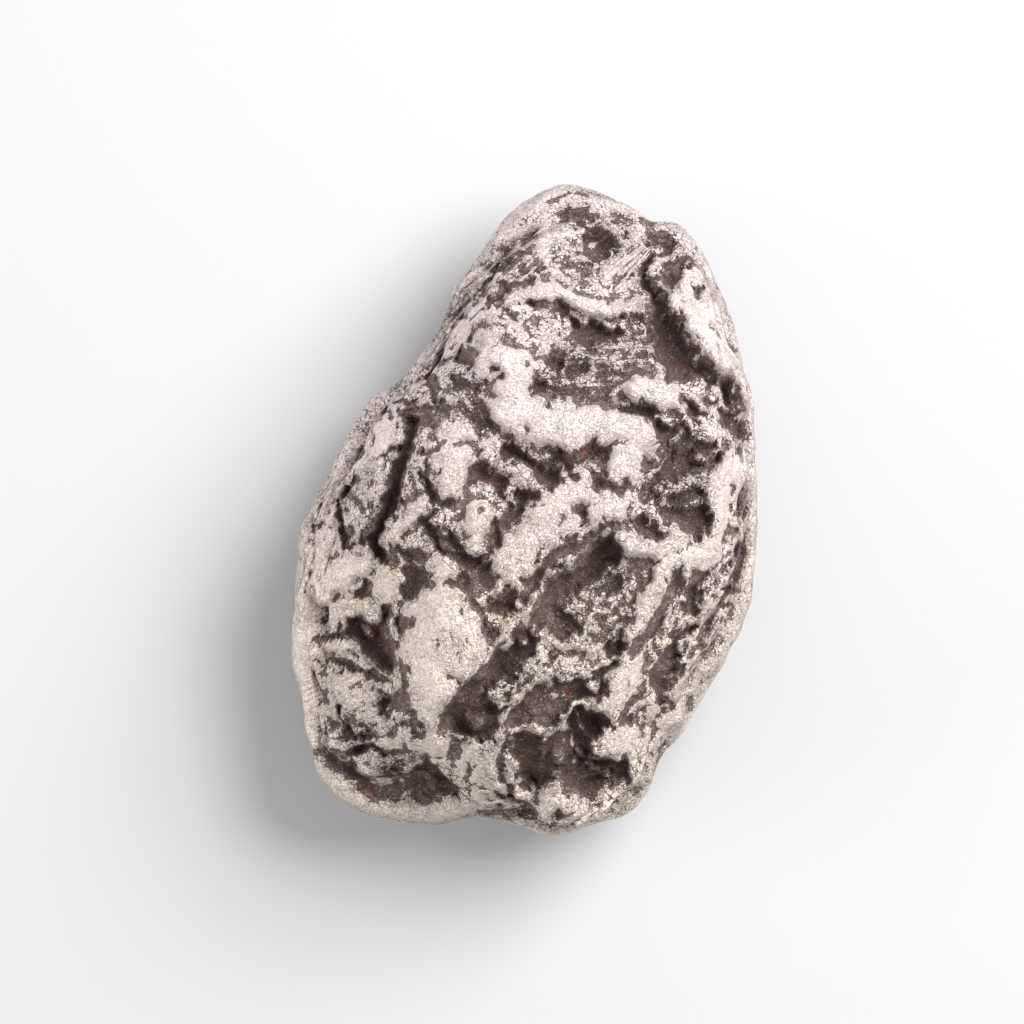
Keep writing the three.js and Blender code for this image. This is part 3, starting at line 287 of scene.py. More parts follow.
# Hollows with steep walls: depth, outline
hollows = {
    "crownPit": (1.5, [(7, 28.3), (5.9, 27.3), (6.2, 26.2), (5.9, 25.4), (6.6, 24.2), (8, 24.6),
        (8.3, 25.6), (9.1, 26.5), (8.2, 27.4)]),
    "fanPatch": (0.8, [(11.5, 24.9), (12.7, 25), (12.6, 23.8), (11.2, 23.7)]),
    "earPitA": (1.5, [(13.1, 27), (14.2, 27.2), (14.1, 25.5), (13.1, 25.4)]),
    "earPitB": (1.6, [(14.1, 25), (15.8, 25.2), (15.8, 23.2), (15.2, 22.3), (14, 22), (13.8, 22.9)]),
    "earPitC": (1.3, [(15.9, 22.9), (17.6, 22.4), (17.1, 21.3), (16.6, 21.2), (16.2, 22)]),
    "eastChasm": (2.3, [(12.1, 22.4), (13, 21.4), (13.4, 20.4), (14, 19.2), (15, 18), (16, 16.8),
        (16.6, 15.4), (17.6, 14.2), (18.8, 13), (20.2, 12), (21, 10.8), (20, 10.6), (18.6, 12), (17, 12.2),
        (15.4, 12.4), (14, 13.4), (12.6, 14.8), (12.2, 17), (12.3, 19.4)]),
    "northHollow": (2.0, [(4.1, 18.8), (5.3, 18.9), (5.6, 18.1), (6.3, 18.6), (7.2, 18.9), (8, 18.4),
        (9.2, 18), (9.4, 17.2), (8.5, 16.6), (7.2, 16.3), (5.8, 15.7), (4.8, 16.5), (4.5, 17.4)]),
    "northSlit": (1.5, [(8, 18.9), (11.2, 19.2), (12, 18.4), (10.8, 18.4), (9.8, 18.6)]),
    "northDarkA": (1.3, [(0.7, 13), (2, 12.9), (1.8, 12.3), (2.4, 11.3), (3.4, 11), (2.9, 10.1), (2, 10.3),
        (1.2, 11), (0.6, 12)]),
    "northDarkB": (1.1, [(3.6, 13.8), (4.6, 14.1), (6.5, 14.2), (6.4, 13.6), (5.5, 13.1), (4.2, 13.1)]),
    "northDarkC": (0.9, [(0.8, 14.7), (2, 14.8), (3.8, 14.7), (3, 14.2), (2.2, 14), (1.6, 14.4)]),
    "northDarkD": (0.8, [(8.1, 13.6), (9.8, 13.8), (9.6, 13.2), (8.6, 13)]),
    "lipNotchA": (0.9, [(-0.9, 20.7), (0.9, 20.3), (0.9, 19.5), (0.2, 19.7), (-0.6, 20.1)]),
    "lipNotchB": (1.0, [(2.9, 20.3), (3.9, 20.3), (4.1, 18.8), (3.2, 18.7)]),
    "scar": (0.8, [(-1.5, 19.7), (-2, 19), (-1.2, 18.4), (-0.8, 19.2)]),
    "ovalPit": (1.8, [(-7, 15.9), (-6.6, 16.3), (-5.2, 16.2), (-4.7, 15.8), (-4.8, 14.9), (-5.3, 14.5),
        (-6.5, 14.5), (-7.4, 15), (-7.6, 15.3)]),
    "curvedPit": (1.1, [(-7.9, 13.3), (-6.6, 13.1), (-6.1, 12.8), (-5.8, 12.5), (-5.2, 12.3), (-4.6, 12.9),
        (-4.3, 13.7), (-4.3, 12.6), (-5, 12), (-6, 12.1), (-7, 11.9), (-7.4, 12.4)]),
    "shoulderHollow": (1.1, [(-12, 10.2), (-10, 10.8), (-8.2, 10.3), (-7.9, 8.8), (-9, 8), (-10.5, 8.2),
        (-11.2, 8.8), (-11.8, 9.4)]),
    "flapCrack": (1.6, [(-16.5, 4.4), (-16.9, 2.5), (-17.6, 1.2), (-18.1, 0.5), (-17.9, -0.8),
        (-17.6, -2.2), (-18, -4), (-18.6, -2.2), (-18.8, -0.6), (-18.6, 0.8), (-17.5, 2.7)]),
    "hollowA": (2.1, [(-2.6, 6.7), (-1.8, 6.9), (-0.7, 6.2), (-0.2, 5.6), (0.8, 5.1), (1.8, 4.4),
        (2.6, 3.9), (3.3, 3.6), (3.4, 2.9), (2.7, 2.3), (2, 1.8), (1.2, 2.6), (1.1, 3.4), (0.5, 4.2),
        (-0.3, 4.6), (-1.2, 5), (-2.2, 5.7)]),
    "hollowB": (1.9, [(-5.9, 2.5), (-5.3, 3.4), (-4.4, 4.2), (-3.7, 3.9), (-2.7, 3.5), (-1.8, 2.9),
        (-1.6, 2.2), (-2, 1.6), (-2.3, 0.9), (-3, 0.9), (-3.3, 1.8), (-3.8, 2.4), (-4.8, 2.6)]),
    "hollowC": (1.7, [(-1.2, 2), (0, 2.2), (1.2, 2.2), (1.6, 1.4), (0.8, 0.9), (0.2, 0.3), (-0.5, -0.9),
        (-1.8, -1.3), (-3, -0.9), (-2.2, -0.3), (-1.2, 0.3), (-0.5, 0.8)]),
    "bossDark": (1.0, [(-8.3, 0.5), (-7.6, 1.2), (-7, 1.5), (-6.6, 1.1), (-7, 0.3), (-7.7, 0.1)]),
    "tinyPitA": (0.7, [(0.5, 8.3), (1.1, 8.2), (1.7, 7.4), (1.2, 7.2), (0.7, 7.7)]),
    "tinyPitB": (0.7, [(-0.8, 8.2), (-0.2, 8.1), (0.1, 7.2), (-0.4, 7)]),
    "tinyPitC": (0.6, [(1.9, 6.9), (2.9, 6.8), (3, 6.1), (2.2, 5.9)]),
    "endHollow": (1.4, [(7, 4), (8, 3.6), (8.7, 3.3), (9.8, 3.9), (10.2, 3), (9.8, 2), (9, 1.8), (8.2, 2),
        (7.4, 2.4), (7, 1.6), (6.8, 2.6), (6.5, 3.2)]),
    "plateauPit": (0.8, [(5.3, -0.1), (6.3, -0.4), (5.8, -0.9), (5.2, -0.6)]),
    "underKnobA": (1.7, [(11.3, 10.5), (12, 11), (13.2, 10.6), (12.9, 9.6), (13, 9.1), (12.2, 9.2),
        (10.8, 9.7), (9.2, 9.4), (9, 10.1), (10.3, 10.1)]),
    "underKnobB": (1.6, [(12.6, 8.9), (13.3, 9.3), (14, 8.4), (14.9, 8.8), (14.8, 8.2), (14.3, 7.4),
        (13.5, 7), (12.8, 7.2)]),
    "eastBasinA": (1.8, [(15.2, 11.5), (16.2, 11), (17, 10.2), (18.5, 10.5), (20.5, 12), (21, 11),
        (20, 10.2), (18, 10), (17.2, 9), (16.8, 9.4), (15.6, 8.9), (15.2, 10)]),
    "eastDark": (1.5, [(19, 9.9), (19.4, 10.2), (20.2, 9.6), (20.9, 8.7), (21, 7.7), (20.5, 7.4),
        (19.6, 7.9), (18.9, 8.2)]),
    "eastValleyFloor": (1.5, [(15.8, 7.5), (15.2, 8.2), (14.4, 6.6), (13.6, 5), (12.4, 3.2), (11.5, 1.6),
        (10.8, 0.6), (11.6, 0.4), (12.6, 1.6), (13.8, 3.4), (14.8, 4.8), (15.6, 6.2)]),
    "eastBasinB": (2.0, [(14.9, 6.8), (16.2, 7.3), (17.4, 6.6), (18.6, 6.8), (19.4, 6.2), (18.8, 4.8),
        (17.4, 4), (15.6, 3.3), (14.2, 3), (13, 3.2), (13.6, 4.5)]),
    "eastBasinC": (1.6, [(15, 2), (16.8, 2.4), (18, 2.2), (18.2, 1), (17.2, 0.6), (16.6, 0.9), (15.6, 0),
        (14.6, -0.2), (14, 0.6)]),
    "eastBasinD": (2.0, [(13.6, 0), (15, -0.1), (16.5, -0.2), (17.5, 0), (18.3, -1.1), (17.4, -1.8),
        (16.9, -2.6), (16.1, -2.8), (15.4, -2.2), (14.8, -1.6), (14, -0.9)]),
    "crescentPocket": (1.9, [(10.3, -0.5), (11, 0), (11.8, -0.2), (12, -1.2), (12.8, -2), (12.9, -2.8),
        (11.9, -3.1), (11.3, -2.7), (10.6, -2.2), (10.2, -1.5)]),
    "knobMoat": (1.7, [(-10.7, -0.8), (-9.8, -0.1), (-9, 0.1), (-8.9, -0.5), (-9.8, -1.2), (-8.2, -1.6),
        (-7.2, -1.7), (-6.4, -2.8), (-6.1, -3.8), (-5.2, -4.2), (-4, -4.2), (-4.8, -5.4), (-6.3, -6.1),
        (-7.3, -5.6), (-8.3, -4.9), (-9.1, -4.2), (-9.4, -3.2), (-10, -2.3)]),
    "moatFoot": (1.1, [(-6.4, -6.2), (-5, -5.6), (-3.4, -4.8), (-3.2, -6.6), (-3.2, -7.8), (-4.2, -8.4),
        (-5.2, -9.2), (-6, -8.2), (-6.4, -7)]),
    "brownPocket": (1.2, [(-12.8, -3.3), (-12.2, -4), (-11.3, -3.3), (-10.3, -4), (-10, -5), (-10.2, -6),
        (-9.5, -7), (-10.4, -7.5), (-11.4, -8.4), (-12, -8), (-12.2, -7), (-12.2, -5.5), (-12.6, -4.6)]),
    "narrowPitA": (1.5, [(-12.5, -9.6), (-11.8, -9.8), (-11.5, -11), (-12, -12), (-12.7, -11)]),
    "narrowPitB": (0.9, [(-11.2, -9.9), (-10.8, -9.9), (-10.4, -11), (-10.9, -11.2)]),
    "cavern": (2.9, [(-17.8, -10.8), (-16.3, -10.2), (-15.5, -10.7), (-14.3, -10.6), (-13.8, -9),
        (-13.2, -8.8), (-13.1, -13), (-13, -14.8), (-13.3, -15.9), (-14.2, -16.2), (-15, -15.4),
        (-16.3, -14.3), (-17, -13.2), (-17.8, -12.6)]),
    "ledgePocket": (1.3, [(-16.8, -8.2), (-16, -7.3), (-15.1, -7.1), (-15, -8.8), (-16.2, -9),
        (-17.4, -9.2)]),
    "darkLens": (1.2, [(-19.2, -15), (-18.2, -14.7), (-17.2, -15), (-16.4, -15.9), (-15.6, -16.3),
        (-16.8, -16.5), (-18.2, -15.9)]),
    "lensFoot": (1.0, [(-15, -16.4), (-13.6, -16.2), (-13.2, -17.1), (-14.3, -17.2), (-15.6, -16.8)]),
    "nook": (1.9, [(-12.9, -17.9), (-12.4, -17.2), (-11.6, -18.6), (-11.4, -19.8), (-12.6, -19.8),
        (-13.6, -19.3), (-14.2, -20.2), (-14.9, -19.1), (-13.8, -18.6)]),
    "toePit": (0.8, [(-18.9, -19.3), (-18.2, -19.6), (-17.9, -20.2), (-18.5, -20.5)]),
    "plateauPocket": (1.7, [(-2.9, -8.5), (-2.6, -8), (-1.7, -7.7), (-0.9, -7.6), (-0.6, -8.2), (-0.9, -9),
        (-1, -9.8), (-1.9, -10.3), (-3.4, -10.2), (-3.6, -9.6), (-3.3, -9)]),
    "brownCreek": (1.0, [(-4.9, -10.4), (-3.8, -10.4), (-3.5, -11.3), (-2.8, -11.8), (-3.2, -12.7),
        (-3.5, -13.6), (-3.8, -12.5), (-4.6, -11.8)]),
    "grooveHead": (2.6, [(7.6, -2.6), (8.2, -3), (9.2, -4), (9.6, -4.8), (9, -5.8), (8, -6.2), (7.2, -7),
        (5.6, -7.3), (5, -8.2), (4.2, -8.9), (3, -9.2), (2, -9.4), (3.4, -7.6), (4.8, -6.6), (5.8, -5.6),
        (6.4, -4.4)]),
    "grooveStep": (1.5, [(2, -9.8), (3, -9.6), (5, -11.1), (4.9, -12.2), (3.8, -12.8), (2.5, -11.8),
        (1.4, -11.5)]),
    "roundPit": (1.2, [(7.4, -7.4), (8.2, -6.3), (9.4, -6.5), (9.6, -7.6), (8.8, -8.3), (7.8, -8.2)]),
    "plateauEndA": (1.3, [(7.2, -13.2), (8.4, -13), (10, -13.2), (9.8, -14), (8.6, -14.6), (7.6, -14.6)]),
    "plateauEndB": (1.0, [(2.2, -13.8), (3.2, -14.2), (2.4, -15.2), (1.4, -15.4), (1.8, -14.4)]),
    "grooveMouth": (2.2, [(-8.7, -21.5), (-8.4, -20.2), (-7.6, -18.8), (-6.8, -17.8), (-5.5, -16.6),
        (-3.5, -15.8), (-3.8, -18.5), (-2.5, -19.5), (-3, -22), (-3.6, -22.8), (-4.8, -23.6), (-5.6, -22.6),
        (-7, -21.8), (-7.8, -21.3)]),
    "southBasinA": (2.0, [(2.4, -16.3), (3.6, -16.9), (5, -16.3), (6.2, -16.9), (6.9, -18.2), (6, -18.9),
        (4.9, -19.4), (3.6, -20.2), (2.2, -21.5), (1, -21), (-1, -21.2), (-3, -21.9), (-1.8, -20.2),
        (-0.3, -18.6), (1, -17.2)]),
    "southBasinB": (2.3, [(-1.5, -22), (-0.8, -21.5), (0.5, -21.6), (2.3, -22.2), (3.4, -21.3), (4.4, -20),
        (5.2, -19.6), (6.2, -19.8), (7.5, -19.6), (8.1, -20.3), (7.8, -21), (7.2, -22.5), (6.7, -23),
        (6.8, -23.8), (8, -24.4), (9.3, -24.5), (10, -24.2), (9.9, -25.5), (10.2, -26.7), (8.8, -26.8),
        (7.8, -27.2), (7.5, -28), (6.3, -28.6), (5, -27.8), (4, -27.2), (3, -27), (2, -27.3), (1, -27),
        (0, -27.2), (-0.6, -26.6), (-0.9, -25), (-1.3, -23.5)]),
    "darkSlot": (2.1, [(16.8, -10.9), (15.5, -11.3), (14.7, -12.2), (14.2, -13.2), (13.5, -14.5),
        (12.9, -15.5), (12.4, -16.5), (12, -17.5), (12.6, -18.8), (13.2, -18.6), (13.6, -17.8), (14.2, -17),
        (15, -16), (15.6, -14.6), (15, -13.7), (15.1, -12.8), (15.9, -12.2), (16.6, -11.8)]),
    "snakeHollow": (2.6, [(-19.8, -24.7), (-19, -24.3), (-18, -24.5), (-17.2, -25), (-16.8, -25.8),
        (-16, -26.4), (-14.8, -26.6), (-13.5, -26.4), (-12, -26), (-10.8, -25.4), (-9.9, -24.9),
        (-9, -25.5), (-8.2, -26.4), (-7.2, -27.3), (-6.4, -28.2), (-7.2, -28.4), (-9, -28.7), (-9.9, -29.6),
        (-10.6, -29.2), (-11, -28.4), (-12, -28.1), (-14, -28.7), (-15.3, -28.9), (-16.2, -28.6),
        (-17, -28), (-17.3, -27.2), (-17.8, -26.2), (-18.5, -25.9), (-19.6, -25.9)]),
    "crestSlit": (1.1, [(-18.8, -23.5), (-18, -22.3), (-17.2, -21.8), (-16, -22), (-14.2, -22.7),
        (-15.8, -22.8), (-17.3, -23.2)]),
}

# Thin ridges and islands: half width, share of a hollow that they fill, height added, line
ridges = {
    "tongue": (0.5, 0.9, 0.4, [(13, 24.6), (12.8, 23.8), (13.4, 22.4), (13.9, 22.1)]),
    "hollowThread": (0.35, 0.9, 0.2, [(7, 19.2), (8, 18.4), (9.3, 18.1), (10.2, 18.5), (10.8, 17.6),
        (10.7, 17.1)]),
    "lumpA": (1.1, 0.8, 0.6, [(3.5, 16)]),
    "lumpB": (0.9, 0.8, 0.5, [(8.9, 14.5)]),
    "lumpC": (0.6, 0.9, 0.4, [(1.2, 14)]),
    "floorRidge": (0.45, 0.9, 0.5, [(4.1, 14.9), (5.5, 15.2), (6.5, 14.5)]),
    "floorThread": (0.3, 0.9, 0.3, [(2.6, 13.4), (3.8, 13)]),
    "pillar": (0.4, 0.9, 0.4, [(8.6, 11.4), (8.6, 10)]),
    "knobTail": (0.35, 0.9, 0.3, [(14.9, 11), (15, 10.2), (15.2, 9.2), (15.8, 8.4)]),
    "pitLobe": (0.8, 0.8, 0.4, [(-5.2, 13.4)]),
    "ridgeBetween": (0.8, 0.7, 0.7, [(-4, 5), (-2.8, 4.6), (-1.5, 4.5), (-0.3, 3.6), (0.6, 2.7)]),
    "lumpD": (0.65, 0.8, 0.6, [(-1.3, 1.2)]),
    "grooveKnob": (1.0, 0.8, 0.5, [(5.8, 4)]),
    "basinLump": (0.7, 0.8, 0.6, [(13.9, 9.3)]),
    "basinSpeckle": (0.9, 0.5, 0.3, [(16.5, 12.5)]),
    "threadA": (0.3, 0.9, 0.3, [(17.4, 9.9), (18.4, 9.6), (19.3, 10.7), (19.8, 10.3)]),
    "threadB": (0.35, 0.9, 0.3, [(18.2, 9), (19, 8.4)]),
    "threadC": (0.45, 0.9, 0.5, [(18, 7.5), (19.5, 7.4), (20.4, 6.8), (21, 6.9)]),
    "basinBar": (0.45, 0.8, 0.4, [(15.1, 5.3), (16, 6), (16.4, 6.8)]),
    "basinArch": (0.55, 0.85, 0.6, [(16.9, 4.9), (17.8, 5.4), (18.8, 6.2), (19.6, 5.3)]),
    "basinCrescent": (0.65, 0.9, 0.8, [(16.7, 3), (17.4, 2.6), (18.4, 3), (19.2, 3.8), (19.7, 4.4)]),
    "basinBlockA": (0.6, 0.9, 0.6, [(13.2, 2), (14.3, 2.6), (15.4, 2.8)]),
    "basinBlockB": (0.6, 0.9, 0.6, [(13.5, 0.8), (14.3, 1.5), (15.3, 2.3)]),
    "pocketThread": (0.3, 0.9, 0.3, [(11.9, 0.2), (13, -0.9), (14, -1.8)]),
    "moatIslandA": (0.5, 0.85, 0.3, [(-8.7, -1.1)]),
    "moatIslandB": (0.6, 0.8, 0.3, [(-8.1, -2.2), (-7.7, -2.5)]),
    "moatIslandC": (0.6, 0.8, 0.3, [(-7.9, -3.6), (-7.6, -4)]),
    "cavernLump": (0.8, 0.45, 0.1, [(-15.8, -11.8)]),
    "dogBone": (0.55, 0.9, 0.6, [(1, -11.9), (2, -11.8), (2.8, -12.8), (3.8, -13.3), (5.2, -13.3),
        (6.5, -13.1), (7.1, -13.6), (6.6, -14.2)]),
    "dogBoneEnd": (0.6, 0.9, 0.4, [(-0.3, -12.9)]),
    "basinCrest": (0.35, 0.8, 0.6, [(2.1, -15.8), (0.6, -17), (-0.4, -18.3), (-1.6, -19.6), (-2.2, -20.2)]),
    "mouthKnob": (0.9, 0.7, 0.4, [(-5.2, -20.5)]),
    "mouthCrumb": (0.5, 0.8, 0.3, [(-4.4, -22.6)]),
    "southBar": (0.4, 0.85, 0.4, [(4.7, -19.3), (3.4, -20.7), (2.3, -21.5), (1.5, -22.5)]),
    "southKnob": (0.8, 0.8, 0.5, [(3, -24.2)]),
    "southThread": (0.25, 0.8, 0.2, [(5.2, -20.3), (5.8, -21.5), (6.5, -22.3)]),
    "southRibA": (0.35, 0.85, 0.3, [(6.1, -25.2), (7, -25.8), (8.2, -26.6)]),
    "southRibB": (0.3, 0.85, 0.3, [(5.8, -24.1), (7.1, -24.5)]),
    "southRibC": (0.35, 0.85, 0.3, [(2.3, -26.3), (3, -25.8), (3.3, -26.8)]),
    "southBlobA": (0.45, 0.8, 0.3, [(1.5, -24.3)]),
    "southBlobB": (0.5, 0.9, 0.3, [(6, -19.3)]),
    "southBlobC": (0.5, 0.9, 0.3, [(7.4, -19.3)]),
    "southCrumbs": (0.35, 0.8, 0.3, [(-1, -21.3), (1, -21)]),
    "flapRib": (0.35, 0.9, 0.5, [(-14.5, 4.6), (-14.1, 2.6), (-14.5, 0.6), (-15.4, -1)]),
    "flankKnob": (0.5, 0.9, 0.6, [(20.5, -2.9), (20.5, -3.8)]),
    "peak": (0.5, 0.8, 0.6, [(-2.4, -21.6), (-2.7, -22.4)]),
    "shoulderRib": (0.4, 0.9, 0.4, [(-12.6, 11.2), (-10.8, 11.9), (-9.6, 13.6)]),
}

# Cuts and cracks: half width, depth, line
grooves = {
    "deepCrack": (0.75, 3.0, [(-11.3, 8.8), (-11.5, 7.5), (-11.7, 6.2), (-11.9, 5), (-12.5, 4), (-13, 2.6),
        (-13.3, 1.4), (-13.8, 0.4), (-14.6, -1), (-15.4, -2.6), (-15.3, -3.4), (-14.3, -4.6),
        (-13.9, -5.2)]),
    "crackBelly": (1.0, 1.4, [(-12.5, 4), (-13, 2.6), (-13.4, 1.4)]),
    "bigGroove": (1.5, 2.4, [(7.2, -3.4), (6.5, -4.5), (5.8, -6), (4.2, -7.2), (2.6, -8.6), (1.5, -10.2),
        (0.3, -12), (-1.2, -14), (-2.8, -15.7), (-4.5, -17.2), (-6, -18.7), (-7, -20.2)]),
    "upperGroove": (0.6, 1.3, [(7.9, -1.9), (6.8, -2.3), (5.5, -3.2), (4, -3.8), (3, -4.4), (2, -5.3),
        (1, -6.2), (0.5, -7.4), (-0.1, -8.6)]),
    "chasmLine": (0.8, 1.2, [(12.5, 22), (13, 20.5), (14, 19.2), (15, 18), (15.8, 16.8), (16.3, 15.5),
        (17.5, 14.3), (18.8, 13), (20.2, 12), (21, 10.8)]),
    "flankGroove": (0.4, 0.8, [(0.6, 23), (-0.8, 22.4), (-2, 21.6), (-3.5, 20.3)]),
    "flankFine": (0.3, 0.5, [(-3.5, 23), (-5, 21.5), (-8, 18.8)]),
    "shoulderSlitA": (0.3, 0.9, [(-13.5, 11.6), (-11.5, 11.6), (-10.9, 12.9)]),
    "shoulderSlitB": (0.3, 0.7, [(-12.8, 10.8), (-11.2, 10.7)]),
    "shoulderSlitC": (0.3, 0.8, [(-10, 12.8), (-11.4, 11.2)]),
    "shoulderFold": (0.35, 0.8, [(-9.8, 13.5), (-9.3, 12), (-9, 10.8)]),
    "rimCrackA": (0.25, 0.6, [(-20.2, 2.4), (-19.9, 1.2), (-20.3, 0), (-21.5, -2.1)]),
    "rimCrackB": (0.25, 0.5, [(-21.6, -6.3), (-21.9, -8)]),
    "narrowGroove": (0.4, 0.9, [(-3.3, -1.3), (-3.2, -2.5), (-2.8, -3.5)]),
    "redGrooveA": (0.35, 0.7, [(3.5, 5.3), (4.5, 5.4), (5.2, 5.8), (6.2, 6.2), (6.8, 7)]),
    "redGrooveB": (0.35, 0.7, [(4, 4.9), (5, 4.9), (5.7, 5.1), (7.2, 5.9)]),
    "smallGroove": (0.4, 0.8, [(3.3, 4.9), (4.2, 4.2), (4.6, 3.4), (5.1, 3)]),
    "moatGroove": (0.6, 1.0, [(-6.3, -7), (-5.7, -8), (-5.3, -9.3), (-4.8, -10)]),
    "westSlit": (0.4, 1.0, [(-21.2, -13.3), (-19.5, -13), (-18.5, -12.1), (-17.6, -12.6)]),
    "flankSlot": (0.5, 1.2, [(21.6, -3.4), (20.9, -5), (20.6, -6.5), (20.2, -8), (19.6, -9.5)]),
    "oliveGrooveA": (0.7, 1.0, [(15.2, -6.2), (14.2, -8), (13, -10.3), (12.2, -12), (11.2, -13.4),
        (10.5, -14.3)]),
    "oliveGrooveB": (0.5, 0.9, [(11.5, -17.3), (10.4, -18.6), (9.7, -20), (9.4, -21.2)]),
    "darkGroove": (0.6, 1.0, [(17.2, -6.3), (16.5, -8.2), (16, -9.8)]),
    "slotTail": (0.35, 0.8, [(13.2, -18.8), (14.4, -19.5)]),
    "crestLine": (0.45, 1.0, [(-21, -24.1), (-18.3, -24.5), (-16.3, -23.8)]),
    "crestLineEast": (0.4, 0.9, [(-4.6, -29.9), (-2.5, -30.1), (0, -29.8)]),
    "footCrackA": (0.3, 0.6, [(-2.5, -30.1), (-1.2, -30.4), (1, -30.5)]),
    "footCrackB": (0.3, 0.6, [(2.5, -31), (5.2, -31)]),
    "footCrackC": (0.3, 0.6, [(3.2, -30.1), (5, -29.5)]),
    "footCrackD": (0.3, 0.6, [(6.2, -29.3), (7.5, -29)]),
    "footCrackE": (0.3, 0.6, [(10.9, -28.8), (11.4, -27.8)]),
    "crestSlitB": (0.3, 0.6, [(-13, -23.3), (-11.5, -23.8)]),
    "crownCrack": (0.4, 0.8, [(3.8, 28.9), (5.4, 29.3), (7.2, 29)]),
    "crownCrackB": (0.3, 0.6, [(2.4, 30.2), (4.2, 31.3), (6.4, 31)]),
    "crownNotch": (0.5, 1.2, [(12.4, 29.4), (12.3, 27.8), (12.6, 26.6)]),
    "bossPit": (0.45, 0.7, [(-8.6, 3.8)]),
    "knobPit": (0.45, 0.8, [(-5, 0.1)]),
    "bossSeam": (0.35, 0.8, [(-9.6, 1.0), (-9.8, 2.6), (-9.7, 4.2), (-9.3, 5.6), (-8.4, 6.5)]),
    "bossSeamEast": (0.35, 0.7, [(-4.4, 5.8), (-4.6, 4.6), (-5.6, 3.4)]),
    "whiteSeam": (0.35, 0.8, [(9.1, -15.2), (7.4, -16), (7.3, -17.6), (7.4, -18.6)]),
    "swellingSeam": (0.4, 0.9, [(-12.6, -14.4), (-12.1, -16.4), (-11.5, -18.6), (-11.2, -21),
        (-10.8, -22.4)]),
}

# Patches of fine lines: direction of the lines in degrees, or the point and distance they spread from,
# then strength, outline
linePatches = {
    "fan": ((14.2, 28.4, 6.0), 1.7, [(7.6, 23.6), (9.5, 26.2), (12.5, 27.2), (12.8, 26), (11.3, 24.5),
        (10.5, 23), (9, 21.9), (8, 22.8)]),
    "northFloor": (5, 1.0, [(3, 17), (12, 18), (12.2, 14), (9.6, 12.6), (8.6, 10), (3, 10.4), (1, 12.6)]),
    "eastFlank": (68, 1.0, [(22.6, 6), (21, 2), (19.6, -3), (17, -6.5), (13.6, -10.5), (12.8, -12.6),
        (15.5, -11), (19, -9), (22.4, -4), (23.4, 0)]),
    "valleySlope": (55, 0.9, [(14.6, 8.2), (12.4, 8), (10.6, 4), (10, 0.8), (11.2, 0.8), (13.2, 4.4)]),
    "crackSlope": (100, 0.9, [(-12, 8.6), (-9.8, 8), (-9.8, 4), (-10, 1), (-12.6, 0.4), (-12.6, 3),
        (-11.8, 5.4)]),
    "westRim": (72, 0.9, [(-19.6, 4.4), (-17.6, 3), (-18.4, -1), (-18.4, -5), (-19.4, -9), (-23.6, -12),
        (-23.8, -4), (-22, 1)]),
    "northWestSide": (46, 1.0, [(1.6, 24), (-2.4, 21.4), (-6.5, 17), (-10.4, 14), (-13, 15), (-8, 24),
        (-2, 30), (1, 27)]),
    "upperSlope": (118, 0.8, [(-7, 13), (-4, 13), (-3.2, 9), (-4, 7), (-7, 7)]),
    "eastOuter": (62, 0.8, [(19, -10), (16.4, -12), (13.6, -19), (12.6, -24), (16, -22), (20.5, -14)]),
    "swelling": (105, 0.5, [(-11, -9), (-6, -8.6), (-4, -12.6), (-6.4, -17), (-8.6, -22), (-12, -22),
        (-13, -13)]),
    "westLow": (30, 0.7, [(-22, -14), (-18, -14.6), (-15, -17), (-12.6, -22.4), (-21, -23), (-23, -18)]),
    "chasm": (60, 0.7, [(12, 20), (16, 16), (20, 12), (16, 12), (12.6, 14)]),
}

# Patches worn clean and smooth: how much paler, outline
cleanPatches = {
    "ear": (0.45, [(13.6, 21.4), (14.6, 23), (16.4, 24.6), (18, 24), (20, 19), (22, 12.4), (23, 8),
        (20.4, 11.6), (17.6, 14.8), (15.8, 17.6)]),
    "heart": (0.14, [(5.6, 2.6), (2, 3), (-1, 0.5), (-3.4, -3.4), (-4, -7.6), (0.2, -7.4), (3, -4.4),
        (5.6, -1.6)]),
    "swelling": (0.14, [(-12, -9), (-5, -8.6), (-3.6, -12.6), (-6, -17), (-8.4, -22), (-12, -22),
        (-13, -13)]),
    "sRidge": (0.1, [(-5, 17), (-2, 16), (0, 11), (5, 10), (11, 10.4), (13, 7.5), (10.4, 3), (8, 3),
        (7.6, 6), (3, 6.4), (-2.6, 7.4), (-3.6, 12)]),
    "westSlope": (0.2, [(-20, 3), (-15, -3), (-13.6, -8), (-13.2, -20), (-20, -23), (-22, -10)]),
    "westRim": (0.42, [(-17.6, 3), (-18.4, -1), (-18.2, -5), (-19.4, -9), (-20.2, -13), (-20.2, -18),
        (-20.4, -23), (-24, -22), (-25, -12), (-24, -2), (-21, 4)]),
    "footRim": (0.26, [(-20.5, -25), (-17.5, -28.2), (-13.5, -28.9), (-10.6, -29.2), (-7.4, -28.4),
        (-3, -29.4), (-3, -33), (-12, -33), (-20, -31), (-22.5, -26)]),
    "eastOuter": (0.2, [(20.6, -3), (18.6, -10), (15.6, -16), (12.6, -21), (12, -25), (16, -24), (22, -14),
        (24, -3), (24, 6), (22, 6)]),
    "crownEdge": (0.2, [(-2, 27), (2, 30.4), (8, 31), (12, 30), (16, 28), (18, 24), (20, 26), (12, 34),
        (-4, 32)]),
}

